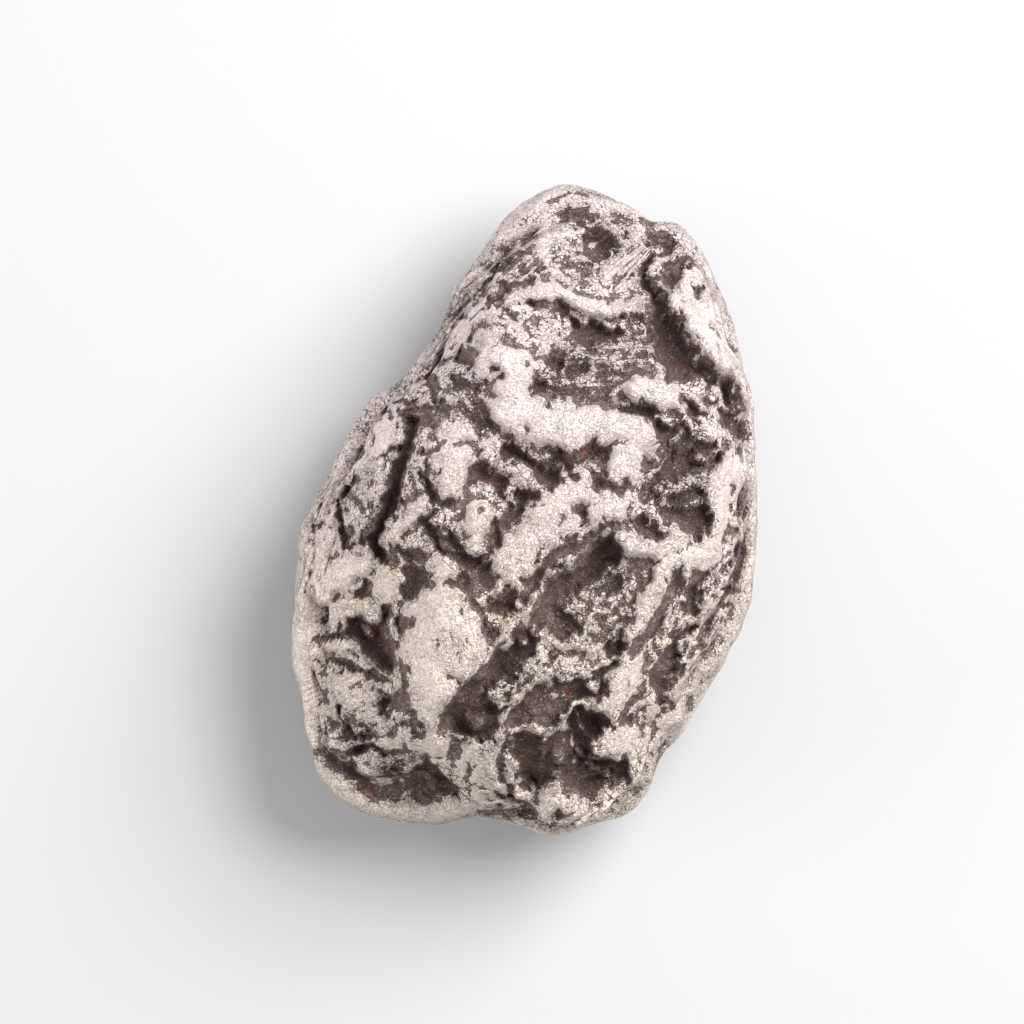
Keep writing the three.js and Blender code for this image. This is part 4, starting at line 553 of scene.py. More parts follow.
# Patches of grains: height, how dark, outline
grainPatches = {
    "plateau": (0.42, 0.24, [(5.2, -6.6), (9.6, -5.2), (12, -6), (12, -8), (10.6, -12), (9.4, -13.6),
        (6.8, -14), (3.4, -13.4), (2, -12), (2.8, -10)]),
    "southMass": (0.4, 0.24, [(-3.6, -18), (-3, -15.8), (-0.4, -13.6), (1.6, -13.6), (2.4, -15.2),
        (0.6, -16.8), (-1.2, -18.8)]),
    "heart": (0.1, 0.2, [(5, 0.4), (2, 0.6), (-0.8, -1.6), (-2.8, -4), (-3, -7.4), (0.4, -7.4), (3, -4.2),
        (4.8, -2)]),
    "northFloor": (0.12, 0.24, [(3, 17), (12, 18), (12.2, 14), (9.6, 12.6), (8.6, 10), (3, 10.4),
        (1, 12.6)]),
    "crownWest": (0.14, 0.26, [(2.2, 26.4), (5, 27), (6.4, 24.6), (7.6, 22.6), (5.4, 21.8), (3, 23)]),
    "eastValley": (0.16, 0.34, [(12.4, 9), (15, 9.6), (17.6, 7.6), (18.4, 2), (17, -2.6), (13, 0.6),
        (12.6, 4)]),
    "northWest": (0.2, 0.34, [(-5.4, 19), (-2.4, 19.4), (-2, 16.8), (-3.6, 15.6), (-6.2, 16.8)]),
    "northCrown": (0.18, 0.3, [(-4.6, 24.6), (0, 26.4), (2, 24), (0.4, 23), (-2.4, 22.8)]),
    "slopeBrown": (0.18, 0.38, [(-8, 13), (-4.2, 13), (-3.4, 8.6), (-4.6, 6.8), (-7.6, 9.4)]),
    "leafFlap": (0.18, 0.36, [(-15.5, 5), (-14.3, 4.7), (-13.8, 3), (-14, 1), (-14.6, 0), (-15.3, -1.2),
        (-15.8, -2.6), (-16.5, -2.4), (-17.3, -1), (-18, 0.5), (-17.8, 1.5), (-17, 3), (-16.4, 4.2)]),
    "swellingBrown": (0.14, 0.28, [(-9, -11.6), (-6.8, -11.4), (-6.4, -14), (-8, -15), (-9.6, -13.6)]),
    "footLens": (0.18, 0.36, [(-16.3, -23.3), (-13.5, -23.3), (-11.5, -23.6), (-10, -24.5), (-10.8, -25.3),
        (-12.2, -26), (-13.8, -26.3), (-15.5, -26), (-16.6, -25.3), (-16.9, -24.2)]),
    "crownBoss": (0.16, 0.36, [(8, 29.2), (9.6, 30), (11, 29), (10.8, 27.4), (9.2, 27.2), (8, 28)]),
    "chasmSlope": (0.4, 0.3, [(12.3, 19), (14, 18.4), (16, 16), (16, 13.6), (13.4, 13.6), (12.4, 15.6)]),
    "eastOuter": (0.14, 0.28, [(18.6, -10), (16.8, -12.6), (16.2, -15.4), (18.4, -14.8), (20.4, -11.4)]),
    "cone": (0.16, 0.26, [(-5.6, -23.4), (-2.6, -22.4), (-1.6, -25), (-2.4, -28.6), (-5, -28)]),
    "westLow": (0.2, 0.2, [(-21, -16), (-17.4, -17), (-13.8, -17.4), (-13.6, -21.8), (-20, -22.6)]),
}

# Rust: place, radius
rustSpots = [
    (-2.3, 6.5, 0.7), (-3.8, 2.6, 0.6), (0.0, 7.2, 0.5), (5.4, 5.6, 0.9), (6.6, 6.6, 0.5),
    (17.2, 10.8, 0.7), (-3.0, -8.5, 0.5), (-0.3, -24.0, 0.7), (0.5, -26.5, 0.6), (13.6, 26.2, 0.5),
    (7.4, 27.6, 0.5), (15.4, 14.2, 0.8), (-14.4, -12.0, 0.8), (8.2, -5.0, 0.7), (16.2, 5.2, 0.6),
    (-15.4, -27.2, 0.8), (4.2, -17.8, 0.6),
]


# Relief and patina of the sculpted side

class Sheet:
    # the sculpted side seen from above, with its plain places and its bent ones

    def __init__(self):
        cell = stoneSettings["cell"]
        reachX, reachY = stoneSettings["reach"]
        xs = np.arange(-reachX, reachX + cell / 2, cell)
        ys = np.arange(-reachY, reachY + cell / 2, cell)
        self.x, self.y = np.meshgrid(xs, ys)
        self.table = noiseTable(stoneSettings["seed"])
        self.bentX, self.bentY = self.x, self.y
        levelX, levelY = stoneSettings["bendLevels"]
        for size, strength in stoneSettings["bends"]:
            self.bentX = self.bentX + strength * 2 * (self.noise([(levelX * size, size, 1)]) - 0.5)
            self.bentY = self.bentY + strength * 2 * (self.noise([(levelY * size, size, 1)]) - 0.5)

    def noise(self, layers, bent=False):
        x, y = (self.bentX, self.bentY) if bent else (self.x, self.y)
        return sum(strength * smoothNoise(x, y, 0 * x + level, size, self.table)
                   for level, size, strength in layers)

    def blank(self):
        return np.zeros(self.x.shape)

    def around(self, points, margin=1.0):
        # the rows and columns that a feature can touch, and their bent places
        cell = stoneSettings["cell"]
        spare = margin + 1.2
        window = []
        for axis in (1, 0):
            reach = stoneSettings["reach"][axis]
            places = [point[axis] for point in points]
            first = int((min(places) - spare + reach) / cell)
            last = int((max(places) + spare + reach) / cell) + 1
            window.append(slice(max(first, 0), min(last, self.x.shape[1 - axis])))
        window = tuple(window)
        return window, self.bentX[window], self.bentY[window]


def blurred(chart, reach):
    # mean over a square of twice the reach
    wide = 2 * int(reach / stoneSettings["cell"]) + 1
    for axis in (0, 1):
        spare = [(wide // 2 + 1, wide // 2) if axis == k else (0, 0) for k in (0, 1)]
        total = np.cumsum(np.pad(chart, spare, mode="edge"), axis=axis)
        count = chart.shape[axis]
        chart = (np.take(total, range(wide, wide + count), axis) - np.take(total, range(count), axis)) / wide
    return chart


def massMap(sheet):
    # the masses vary in width, so that none of them looks like a tube
    wider = stoneSettings["leastWidth"] + sheet.noise(stoneSettings["widthNoise"])
    mass = sheet.blank()
    for half, high, line in masses.values():
        window, px, py = sheet.around(line, half)
        share = np.clip(distanceToLine(line, px, py) / half / wider[window], 0, 1)
        mass[window] = np.maximum(mass[window], high * (1 - share ** 3))
    return mass


def stepMap(sheet):
    level = sheet.blank()
    for deep, wall, points in steps.values():
        window, px, py = sheet.around(points, wall)
        level[window] += deep * smoothStep(-wall, wall, distanceInside(points, px, py))
    return level


def hollowMaps(sheet):
    # depth of the hollows and cuts, and what the thin ridges and islands in them add
    wall = stoneSettings["wall"]
    bowl = stoneSettings["bowlShare"]
    hollow = sheet.blank()
    for deep, points in hollows.values():
        window, px, py = sheet.around(points)
        distance = distanceInside(points, px, py)
        steep = smoothStep(stoneSettings["wallStart"], wall, distance)
        slow = smoothStep(0, stoneSettings["bowlWalls"] * wall, distance)
        hollow[window] = np.maximum(hollow[window], deep * ((1 - bowl) * steep + bowl * slow))
    groove = sheet.blank()
    for half, deep, line in grooves.values():
        window, px, py = sheet.around(line, half)
        share = np.clip(distanceToLine(line, px, py) / half, 0, 1)
        groove[window] = np.maximum(groove[window], deep * (1 - share ** 2) ** 0.9)
    hollow = np.maximum(hollow, groove) + stoneSettings["crossingShare"] * np.minimum(hollow, groove)

    fill, added = sheet.blank(), sheet.blank()
    for half, share, high, line in ridges.values():
        window, px, py = sheet.around(line, half)
        crown = 1 - np.clip(distanceToLine(line, px, py) / half, 0, 1) ** 3
        fill[window] = np.maximum(fill[window], share * crown)
        added[window] = np.maximum(added[window], high * crown)
    hollow = hollow * (1 - fill)

    # small bites beside the hollows, so that no rim runs smoothly
    band = blurred(smoothStep(*stoneSettings["rimRange"], hollow), stoneSettings["biteReach"])
    band = smoothStep(*stoneSettings["biteOuter"], band) * smoothStep(*stoneSettings["biteInner"], band)
    bites = smoothStep(*stoneSettings["biteRange"], sheet.noise(stoneSettings["biteNoise"], bent=True))
    return np.maximum(hollow, stoneSettings["biteDepth"] * band * bites), added


def bitMap(sheet, floorShare):
    # bright bits on the hollows' floors, thick in some places and thin in others
    bits = smoothStep(*stoneSettings["bitRange"], sheet.noise(stoneSettings["bitNoise"], bent=True))
    thick = smoothStep(*stoneSettings["bitPatchRange"], sheet.noise(stoneSettings["bitPatches"]))
    fewest = stoneSettings["fewestBits"]
    return bits * floorShare * (fewest + (1 - fewest) * thick)


def grainMaps(sheet):
    # height, darkness and share of the crumbly patches
    crumbs = smoothStep(*stoneSettings["crumbRange"], sheet.noise(stoneSettings["crumbNoise"]))
    darkest, paler = stoneSettings["speckleDark"]
    height, speckle, crumbly = sheet.blank(), sheet.blank(), sheet.blank()
    for high, dark, points in grainPatches.values():
        window, px, py = sheet.around(points)
        inside = smoothStep(*stoneSettings["grainEdge"], distanceInside(points, px, py))
        height[window] += high * inside * (crumbs[window] - stoneSettings["crumbMean"])
        speckle[window] = np.maximum(speckle[window], dark * inside * (darkest - paler * crumbs[window]))
        share = np.clip(dark * stoneSettings["crumblyGain"], 0, 1)
        crumbly[window] = np.maximum(crumbly[window], share * inside)
    return height, speckle, crumbly


def lineMaps(sheet):
    # a coordinate across the fine lines, their strength, and the lines themselves
    x, y = sheet.x, sheet.y
    acrossX, acrossY = stoneSettings["lineAcross"]
    phase = x * acrossX + y * acrossY
    strength = sheet.blank()
    level, size, bend = stoneSettings["lineBend"]
    for turn, strong, points in linePatches.values():
        window, px, py = sheet.around(points)
        inside = strong * smoothStep(*stoneSettings["lineEdge"], distanceInside(points, px, py))
        if isinstance(turn, tuple):
            fromX, fromY, away = turn
            across = away * np.arctan2(fromY - y[window], fromX - x[window])
        else:
            across = x[window] * math.sin(math.radians(turn)) - y[window] * math.cos(math.radians(turn))
        across = across + bend * (smoothNoise(x[window], y[window], 0 * px + level, size, sheet.table) - 0.5)
        phase[window] = np.where(inside > strength[window], across, phase[window])
        strength[window] = np.maximum(strength[window], inside)
    lines = sum(share * smoothNoise(phase, slow * (x + side * y), 0 * x + level, size, sheet.table)
                for level, size, share, slow, side in stoneSettings["lineNoise"])
    return phase, strength, lines


def cleanMap(sheet):
    clean = sheet.blank()
    for pale, points in cleanPatches.values():
        window, px, py = sheet.around(points)
        inside = smoothStep(*stoneSettings["cleanEdge"], distanceInside(points, px, py))
        clean[window] = np.maximum(clean[window], pale * inside)
    return clean


def rustMap(sheet):
    rust = sheet.blank()
    for rustX, rustY, radius in rustSpots:
        away = np.hypot(sheet.bentX - rustX, sheet.bentY - rustY) / radius
        rust = np.maximum(rust, smoothStep(*stoneSettings["rustEdge"], away))
    return rust


def crinkleMaps(sheet, share):
    # height of the fine folds, and how far each place lies down in one
    height, crease = sheet.blank(), sheet.blank()
    middle, sharpness = stoneSettings["foldMiddle"], stoneSettings["foldSharpness"]
    for level, size, high in stoneSettings["crinkles"]:
        wave = middle - sharpness * np.abs(2 * sheet.noise([(level, size, 1)], bent=True) - 1)
        height = height + high * share * np.maximum(wave, -1)
        crease = crease + stoneSettings["creaseGain"] * np.clip(-wave, *stoneSettings["creaseRange"])
    return height, crease


def makeReliefMaps():
    # all that the mesh takes from the sculpted side, as maps seen from above
    sheet = Sheet()
    mass = massMap(sheet)
    hollow, added = hollowMaps(sheet)
    floorShare = smoothStep(*stoneSettings["floorRange"], hollow)
    lumps = sheet.noise(stoneSettings["floorNoise"]) - stoneSettings["floorMean"]
    hollow = hollow - stoneSettings["floorLumps"] * lumps * floorShare
    bits = bitMap(sheet, floorShare)
    grain, speckle, crumbly = grainMaps(sheet)
    linePhase, lineShare, lines = lineMaps(sheet)
    clean = cleanMap(sheet)

    share, loss = stoneSettings["crinkleShare"], stoneSettings["crinkleLoss"]
    nearHollow = blurred(smoothStep(*stoneSettings["rimRange"], hollow), stoneSettings["besideHollow"])
    nearHollow = np.clip(stoneSettings["besideGain"] * nearHollow, 0, 1)
    between = 1 - smoothStep(*stoneSettings["massRange"], mass)
    crinkled = share["everywhere"] + share["betweenMasses"] * between
    crinkled = crinkled + share["crumbly"] * crumbly + share["besideHollow"] * nearHollow
    crinkled = np.clip(crinkled, 0, 1) * (1 - loss["onFloors"] * floorShare)
    crinkled = crinkled * (1 - loss["whereClean"] * clean)
    folds, crease = crinkleMaps(sheet, crinkled)

    height = stoneSettings["massScale"] * mass - stepMap(sheet) - stoneSettings["hollowScale"] * hollow
    height = height + added + grain + folds + stoneSettings["bitHeight"] * bits
    height = height + stoneSettings["lineHeight"] * lineShare * (lines - 0.5)

    dark = stoneSettings["patinaStart"] - clean - bits
    inHollow = blurred(smoothStep(*stoneSettings["hollowEdge"], hollow), stoneSettings["hollowBlur"])
    dark = dark + stoneSettings["patinaInHollow"] * smoothStep(*stoneSettings["hollowFade"], inHollow)
    dark = dark + stoneSettings["patinaDeep"] * smoothStep(*stoneSettings["deepRange"], hollow)
    dark = dark + stoneSettings["patinaInFold"] * crinkled * crease
    dark = dark + stoneSettings["patinaInLine"] * lineShare * (stoneSettings["lineMiddle"] - lines)
    less, above = stoneSettings["speckleOnMass"]
    dark = dark + speckle * (1 - less * np.clip(mass - above, 0, 1))
    strength, above, longest = stoneSettings["patinaOnRidge"]
    dark = dark + strength * np.clip(added - above, 0, longest)
    cloud = sheet.noise(stoneSettings["cloudNoise"]) - stoneSettings["cloudMean"]
    dark = dark + stoneSettings["patinaCloud"] * cloud
    # painted light on the west side, where the key lamp barely reaches; paler to the north and darker to the
    # east as well
    for axis, start, full, change in stoneSettings["patinaAndLightBySide"]:
        dark = dark + change * smoothStep(start, full, getattr(sheet, axis))
    return {"height": height, "dark": dark, "phase": linePhase, "lines": lineShare, "rust": rustMap(sheet),
            "grain": crumbly, "crinkle": crinkled, "crown": smoothStep(*stoneSettings["crownRange"], mass)}


def lookUp(chart, x, y):
    cell = stoneSettings["cell"]
    reachX, reachY = stoneSettings["reach"]
    column = np.clip((x + reachX) / cell, 0, chart.shape[1] - 1.001)
    row = np.clip((y + reachY) / cell, 0, chart.shape[0] - 1.001)
    i, j = row.astype(int), column.astype(int)
    s, t = row - i, column - j
    low = chart[i, j] * (1 - t) + chart[i, j + 1] * t
    return low * (1 - s) + (chart[i + 1, j] * (1 - t) + chart[i + 1, j + 1] * t) * s


# The body under the relief

outlineTurns = np.array([math.atan2(y, x) for x, y in outline])
outlineReaches = np.array([math.hypot(x, y) for x, y in outline])
turnOrder = np.argsort(outlineTurns)
outlineTurns, outlineReaches = outlineTurns[turnOrder], outlineReaches[turnOrder]


def outwardShare(x, y):
    # 0 over the middle of the stone, 1 at its outline
    radius = np.interp(np.arctan2(y, x), outlineTurns, outlineReaches, period=2 * math.pi)
    return np.hypot(x, y) / radius


def rimHeight(x, y):
    angle = np.arctan2(y, x)
    return sum(high * np.sin(count * angle + start) for count, start, high in stoneSettings["rimWaves"])


def pebbleRatio(x, y, z):
    # 1 on the plain pebble's surface
    share = outwardShare(x, y)
    level = z - rimHeight(x, y) * share ** 2
    up = level > 0
    power = np.where(up, stoneSettings["crownRoundness"], stoneSettings["bellyRoundness"])
    tall = np.where(up, stoneSettings["crownHeight"], stoneSettings["bellyHeight"])
    return (share ** power + (np.abs(level) / tall) ** power) ** (1 / power)


def bodyDistance(x, y, z):
    distance = np.sqrt(x * x + y * y + z * z) * (1 - 1 / pebbleRatio(x, y, z))
    soft = stoneSettings["edgeRound"]
    for turn, rise, away in flatFaces:
        a, b = math.radians(turn), math.radians(rise)
        beyond = x * math.cos(b) * math.cos(a) + y * math.cos(b) * math.sin(a) + z * math.sin(b) - away
        blend = np.maximum(soft - np.abs(distance - beyond), 0)
        distance = np.maximum(distance, beyond) + blend * blend / (4 * soft)
    return distance


def makePrints():
    # thumbprint centres on an uneven spiral over the pebble, and their reaches
    count = stoneSettings["printCount"]
    radiusX, radiusY, radiusZ = stoneSettings["netRadii"]
    i = np.arange(count)
    up = 1 - 2 * (i + 0.5) / count
    across = np.sqrt(1 - up * up)
    turn = i * math.pi * (3 - math.sqrt(5)) + 0.5 * np.sin(i * 2.7)
    centres = np.stack([radiusX * across * np.cos(turn), radiusY * across * np.sin(turn), radiusZ * up], 1)
    reaches = stoneSettings["printReach"] * (1 + 0.3 * np.sin(i * 1.9))
    return centres / pebbleRatio(*centres.T)[:, None], reaches


def flankRelief(points, table):
    # thumbprints, folds and chips on the flanks and the underside
    x, y, z = points.T
    flank = np.where(z > 0, smoothStep(*stoneSettings["printEdge"], outwardShare(x, y)), 1.0)
    past = np.hypot(x, y) - stoneSettings["restRadius"]
    plain = np.where(z < 0, smoothStep(*stoneSettings["restFade"], past), 1.0)
    prints = np.zeros(len(points))
    for centre, reach in zip(*makePrints()):
        share = np.linalg.norm(points - centre, axis=1) / reach
        prints = np.maximum(prints, stoneSettings["printDepth"] * np.clip(1 - share * share, 0, 1))
    size, strength = stoneSettings["foldBend"]
    bend = strength * (smoothNoise(x, y, z, size, table) - 0.5)
    fold = np.zeros(len(points))
    for size, high in stoneSettings["folds"]:
        wave = smoothNoise(x + bend, y - bend, z + bend, size, table)
        fold = fold + high * (stoneSettings["foldLevel"] - np.abs(2 * wave - 1) * stoneSettings["foldCrest"])
    size, deep, start, full = stoneSettings["chips"]
    fold = fold - deep * smoothStep(start, full, smoothNoise(x + bend, y + 9, z - bend, size, table))
    clear = smoothStep(0, stoneSettings["rimKeep"], np.abs(z - rimHeight(x, y)))   # nothing deep at the rim
    keep = stoneSettings["rimLump"]
    fold = stoneSettings["foldShare"] * fold * (keep + (1 - keep) * clear)
    return (fold - stoneSettings["printShare"] * prints * clear) * flank * plain


# The mesh

def makeNet(size):
    # a ball of 20 * size * size triangles
    golden = (1 + math.sqrt(5)) / 2
    corners = np.array([(-1, golden, 0), (1, golden, 0), (-1, -golden, 0), (1, -golden, 0), (0, -1, golden),
                        (0, 1, golden), (0, -1, -golden), (0, 1, -golden), (golden, 0, -1), (golden, 0, 1),
                        (-golden, 0, -1), (-golden, 0, 1)], float)
    corners /= np.linalg.norm(corners[0])
    sides = [(0, 11, 5), (0, 5, 1), (0, 1, 7), (0, 7, 10), (0, 10, 11), (1, 5, 9), (5, 11, 4), (11, 10, 2),
             (10, 7, 6), (7, 1, 8), (3, 9, 4), (3, 4, 2), (3, 2, 6), (3, 6, 8), (3, 8, 9), (4, 9, 5),
             (2, 4, 11), (6, 2, 10), (8, 6, 7), (9, 8, 1)]
    spots = [(i, j) for i in range(size + 1) for j in range(size + 1 - i)]
    number = {spot: index for index, spot in enumerate(spots)}
    cells = []
    for i in range(size):
        for j in range(size - i):
            cells.append((number[i, j], number[i + 1, j], number[i, j + 1]))
            if i + j < size - 1:
                cells.append((number[i + 1, j], number[i + 1, j + 1], number[i, j + 1]))
    cells = np.array(cells)
    u, v = np.array(spots, float).T[:, :, None] / size
    points = np.concatenate([corners[a] * (1 - u - v) + corners[b] * u + corners[c] * v
                             for a, b, c in sides])
    faces = np.concatenate([cells + k * len(spots) for k in range(len(sides))])

    # the sides share the points along their edges
    keys = np.round(points * 1e6).astype(np.int64)
    _, first, back = np.unique(keys, axis=0, return_index=True, return_inverse=True)
    points = points[first]
    return points / np.linalg.norm(points, axis=1, keepdims=True), back.reshape(-1)[faces]


def settle(net, maps):
    # moves each net point along its own line to the stone's outermost surface
    z = net[:, 2] + stoneSettings["upperShare"] * (1 - net[:, 2] ** 2)
    base = np.stack([net[:, 0], net[:, 1], z], 1) * stoneSettings["netRadii"]
    base /= pebbleRatio(*base.T)[:, None]
    lean = stoneSettings["lean"]
    line = base * np.array([lean, lean, 1.0])
    line /= np.linalg.norm(line, axis=1, keepdims=True)
    side = flankRelief(base, noiseTable(stoneSettings["seed"] + 1))

    def outside(way):
        x, y, z = (base + line * way[:, None]).T
        top = smoothStep(*stoneSettings["sculptedFrom"], z)
        return bodyDistance(x, y, z - top * lookUp(maps["height"], x, y)) - side

    # steps inwards until each point is in the stone, then halves the last step
    out = np.full(len(base), stoneSettings["searchStart"])
    into = out.copy()
    active = np.ones(len(base), bool)
    for _ in range(stoneSettings["searchSteps"]):
        active &= outside(into) > 0
        if not active.any():
            break
        out = np.where(active, into, out)
        into = np.where(active, into - stoneSettings["searchStep"], into)
    for _ in range(stoneSettings["searchHalvings"]):
        middle = (out + into) / 2
        beyond = outside(middle) > 0
        out = np.where(beyond, middle, out)
        into = np.where(beyond, into, middle)
    return base + line * ((out + into) / 2)[:, None]


def vertexNormals(points, faces):
    a, b, c = (points[faces[:, k]] for k in range(3))
    flat = np.cross(b - a, c - a)
    normals = np.zeros(points.shape)
    for k in range(3):
        for axis in range(3):
            normals[:, axis] += np.bincount(faces[:, k], flat[:, axis], len(points))
    return normals / np.maximum(np.linalg.norm(normals, axis=1, keepdims=True), 1e-12)


def smoothed(points, faces, rounds):
    # every point moved towards the mean of its neighbours
    start = np.concatenate([faces[:, 0], faces[:, 1], faces[:, 2]])
    end = np.concatenate([faces[:, 1], faces[:, 2], faces[:, 0]])
    count = np.bincount(start, minlength=len(points)) + np.bincount(end, minlength=len(points))
    for _ in range(rounds):
        total = np.zeros(points.shape)
        for axis in range(3):
            total[:, axis] = (np.bincount(start, points[end, axis], len(points)) +
                              np.bincount(end, points[start, axis], len(points)))
        points = total / count[:, None]
    return points


def shapeStone(maps):
    # the net on the stone, with its widest part rubbed round and all of it a little uneven
    net, faces = makeNet(stoneSettings["netSize"])
    points = settle(net, maps)
    rub = stoneSettings["rub"] * smoothStep(*stoneSettings["rubReach"], outwardShare(*points.T[:2]))
    rub = rub * smoothStep(*stoneSettings["rubHeight"], np.abs(points[:, 2] - stoneSettings["rubLevel"]))
    points = points + rub[:, None] * (smoothed(points, faces, stoneSettings["rubRounds"]) - points)

    table = noiseTable(stoneSettings["seed"] + 2)
    uneven = sum(high * (smoothNoise(*points.T, size, table) - 0.5)
                 for size, high in stoneSettings["uneven"])
    rim = smoothStep(*stoneSettings["rimReach"], outwardShare(*points.T[:2]))
    uneven = uneven * (1 - stoneSettings["rimCalm"] * rim)
    return points + vertexNormals(points, faces) * uneven[:, None], faces, rim


def finishValues(points, faces, rim, maps):
    # what the iron reads at every point
    x, y, z = points.T
    normals = vertexNormals(points, faces)
    upper = smoothStep(*stoneSettings["upperSlope"], normals[:, 2])
    upper = upper * smoothStep(*stoneSettings["upperFrom"], z)
    always = smoothStep(*stoneSettings["upperAlways"], z)
    always = always * smoothStep(*stoneSettings["upperInside"], outwardShare(x, y))
    upper = np.maximum(upper, always)

    def onBoth(name, onFlank):
        return upper * lookUp(maps[name], x, y) + (1 - upper) * onFlank

    # patina gathers where the surface is hollow, and painted shade darkens the concave places while the
    # convex ones pale
    caves = {}
    for name, rounds in (("patinaAndShadeFine", 2), ("patinaAndShadeNear", 6), ("patinaAndShadeWide", 50)):
        caves[name] = np.einsum("ij,ij->i", smoothed(points, faces, rounds) - points, normals)
    below = stoneSettings["below"]
    # on the flanks and underside the broad hollows darken too: patina and painted shade
    cave = np.clip(caves["patinaAndShadeWide"], *stoneSettings["belowCave"])
    dark = onBoth("dark", below["patinaAndShading"] + below["cave"] * cave)
    for name, cave in caves.items():
        strength, low, high = stoneSettings[name]
        dark = dark + strength * np.clip(cave, low, high)

    acrossX, acrossY, acrossZ = stoneSettings["belowLines"]
    size, start, full = stoneSettings["belowGrain"]
    crumbs = smoothStep(start, full, smoothNoise(x, y, z, size, noiseTable(stoneSettings["seed"] + 2)))

    # how ragged the patina's edges are
    loss = stoneSettings["brokenLoss"]
    north = smoothStep(*stoneSettings["northRange"], y) * (1 - rim)
    broken = 1 - loss["rim"] * rim * upper - loss["north"] * north * upper
    return {
        "patinaAndShading": dark,
        "rust": onBoth("rust", 0),
        "linePhase": onBoth("phase", acrossX * x + acrossY * y + acrossZ * z),
        "lineShare": onBoth("lines", below["lineShare"]),
        "grain": onBoth("grain", below["grain"] * crumbs),
        "crinkle": onBoth("crinkle", below["crinkle"]),
        "broken": broken * (1 - loss["crown"] * onBoth("crown", 0)),
    }


def fitToBox(points):
    # fits the points to the solid's own box, with the lowest ones cut off at the resting face
    low, high = (np.array(corner) * 1000 for corner in cadBounds)
    bottom = np.array([0, 0, stoneSettings["restCut"]])
    size = points.max(0) - points.min(0)
    points = (points - points.min(0)) * (high - low + bottom) / size + low - bottom
    points[:, 2] = np.maximum(points[:, 2], low[2])
    return points


def makeStone():
    print("stone: relief maps")
    maps = makeReliefMaps()
    print("stone: surface")
    points, faces, rim = shapeStone(maps)
    print("stone: finish at", len(points), "points")
    values = finishValues(points, faces, rim, maps)

    mesh = bpy.data.meshes.new("meteoriteSurface")
    mesh.from_pydata((fitToBox(points) / 1000).tolist(), [], faces.tolist())
    for name, numbers in values.items():
        mesh.attributes.new(name, "FLOAT", "POINT").data.foreach_set("value", numbers.astype(np.float32))
    mesh.polygons.foreach_set("use_smooth", np.ones(len(faces), bool))
    mesh.update()
    stone = bpy.data.objects.new("meteorite_surface", mesh)
    bpy.context.scene.collection.objects.link(stone)
    return stone


# The stone's finish. Noise is per metre.

ironFinish = {
    "silverUpper": (248, 234, 230), "silverLower": (248, 236, 222), "tarnish": (158, 142, 134),
    "grey": (194, 178, 169), "brown": (147, 128, 118), "deep": (106, 89, 81),
    # the crevice colour is painted shade, at the foot of the silver's edges and in the fine creases
    "rust": (138, 72, 58), "creviceShade": (62, 49, 45),
    "ramp": (0.34, 0.43, 0.88, 1.0),   # patina where silver ends, and where grey, brown and deep are full
    # painted shade: a dark line where the patina leaves the silver
    "creviceShadeStart": (0.36, 0.44), "creviceShadeEnd": (0.56, 0.80), "creviceShadeShare": 0.75,  # beside the silver
    "warmthRange": (-0.014, 0.010), "warmthWander": (90, 0.04),   # places along y; noise and reach
    "metal": (0.12, 0.0), "roughness": (0.60, 0.85),              # of silver and of oxide
    "speckle": [(300, 0.35), (900, 0.75), (2300, 1.05), (4600, 0.70)],   # noise and strength
    "creases": [(700, 0.024, 1.10), (1500, 0.036, 0.95)],                # noise, half width, strength
    # the last two say how strongly painted shade darkens the creases and the faint lines
    "creaseBend": 0.3, "creaseShadeShare": 0.4, "faintShadeShare": 0.16,
    "grainScale": 2000, "grainSeam": (0.02, 0.16), "grainBend": 0.0008, "grainBendScale": 1500,
    "seamShare": 0.9, "seamLevel": 0.72,
    "pepper": (6400, 0.57, 0.68), "pepperShare": 0.32,   # noise, where it starts and is full
    "stain": (1500, 0.50, 0.72), "mottle": (420, 0.48, 0.70), "stainShare": 0.28,
    "fleck": (4200, 0.60, 0.68), "fleckPatch": (800, 0.42, 0.60), "fleckMost": 0.85, "fleckLeast": 0.1,
    "rustPatch": (1400, 0.42, 0.60), "rustShare": 0.85,
    "thread": (2600, 0.030, 0.38, 0.36), "threadBend": 1.0,   # noise, half width, share on silver, on oxide
    "tone": (5200, 0.30, 0.70), "toneRange": (0.92, 1.12),
    "streak": (2.1, 0.50, 0.60), "streakShare": 0.50,    # noise per millimetre across the lines
    "bump": [(700, 1.1), (1500, 0.8), (3000, 0.45), (6000, 0.15)], "bumpDepth": 0.00042,
    "bumpShares": {"bare": 0.5, "pepper": -0.3, "streak": -0.45, "crease": -0.7,
                   "fleck": 0.35, "grain": 0.6},
}


def linear(colour):
    parts = [c / 255 for c in colour]
    return [c / 12.92 if c <= 0.04045 else ((c + 0.055) / 1.055) ** 2.4 for c in parts] + [1.0]


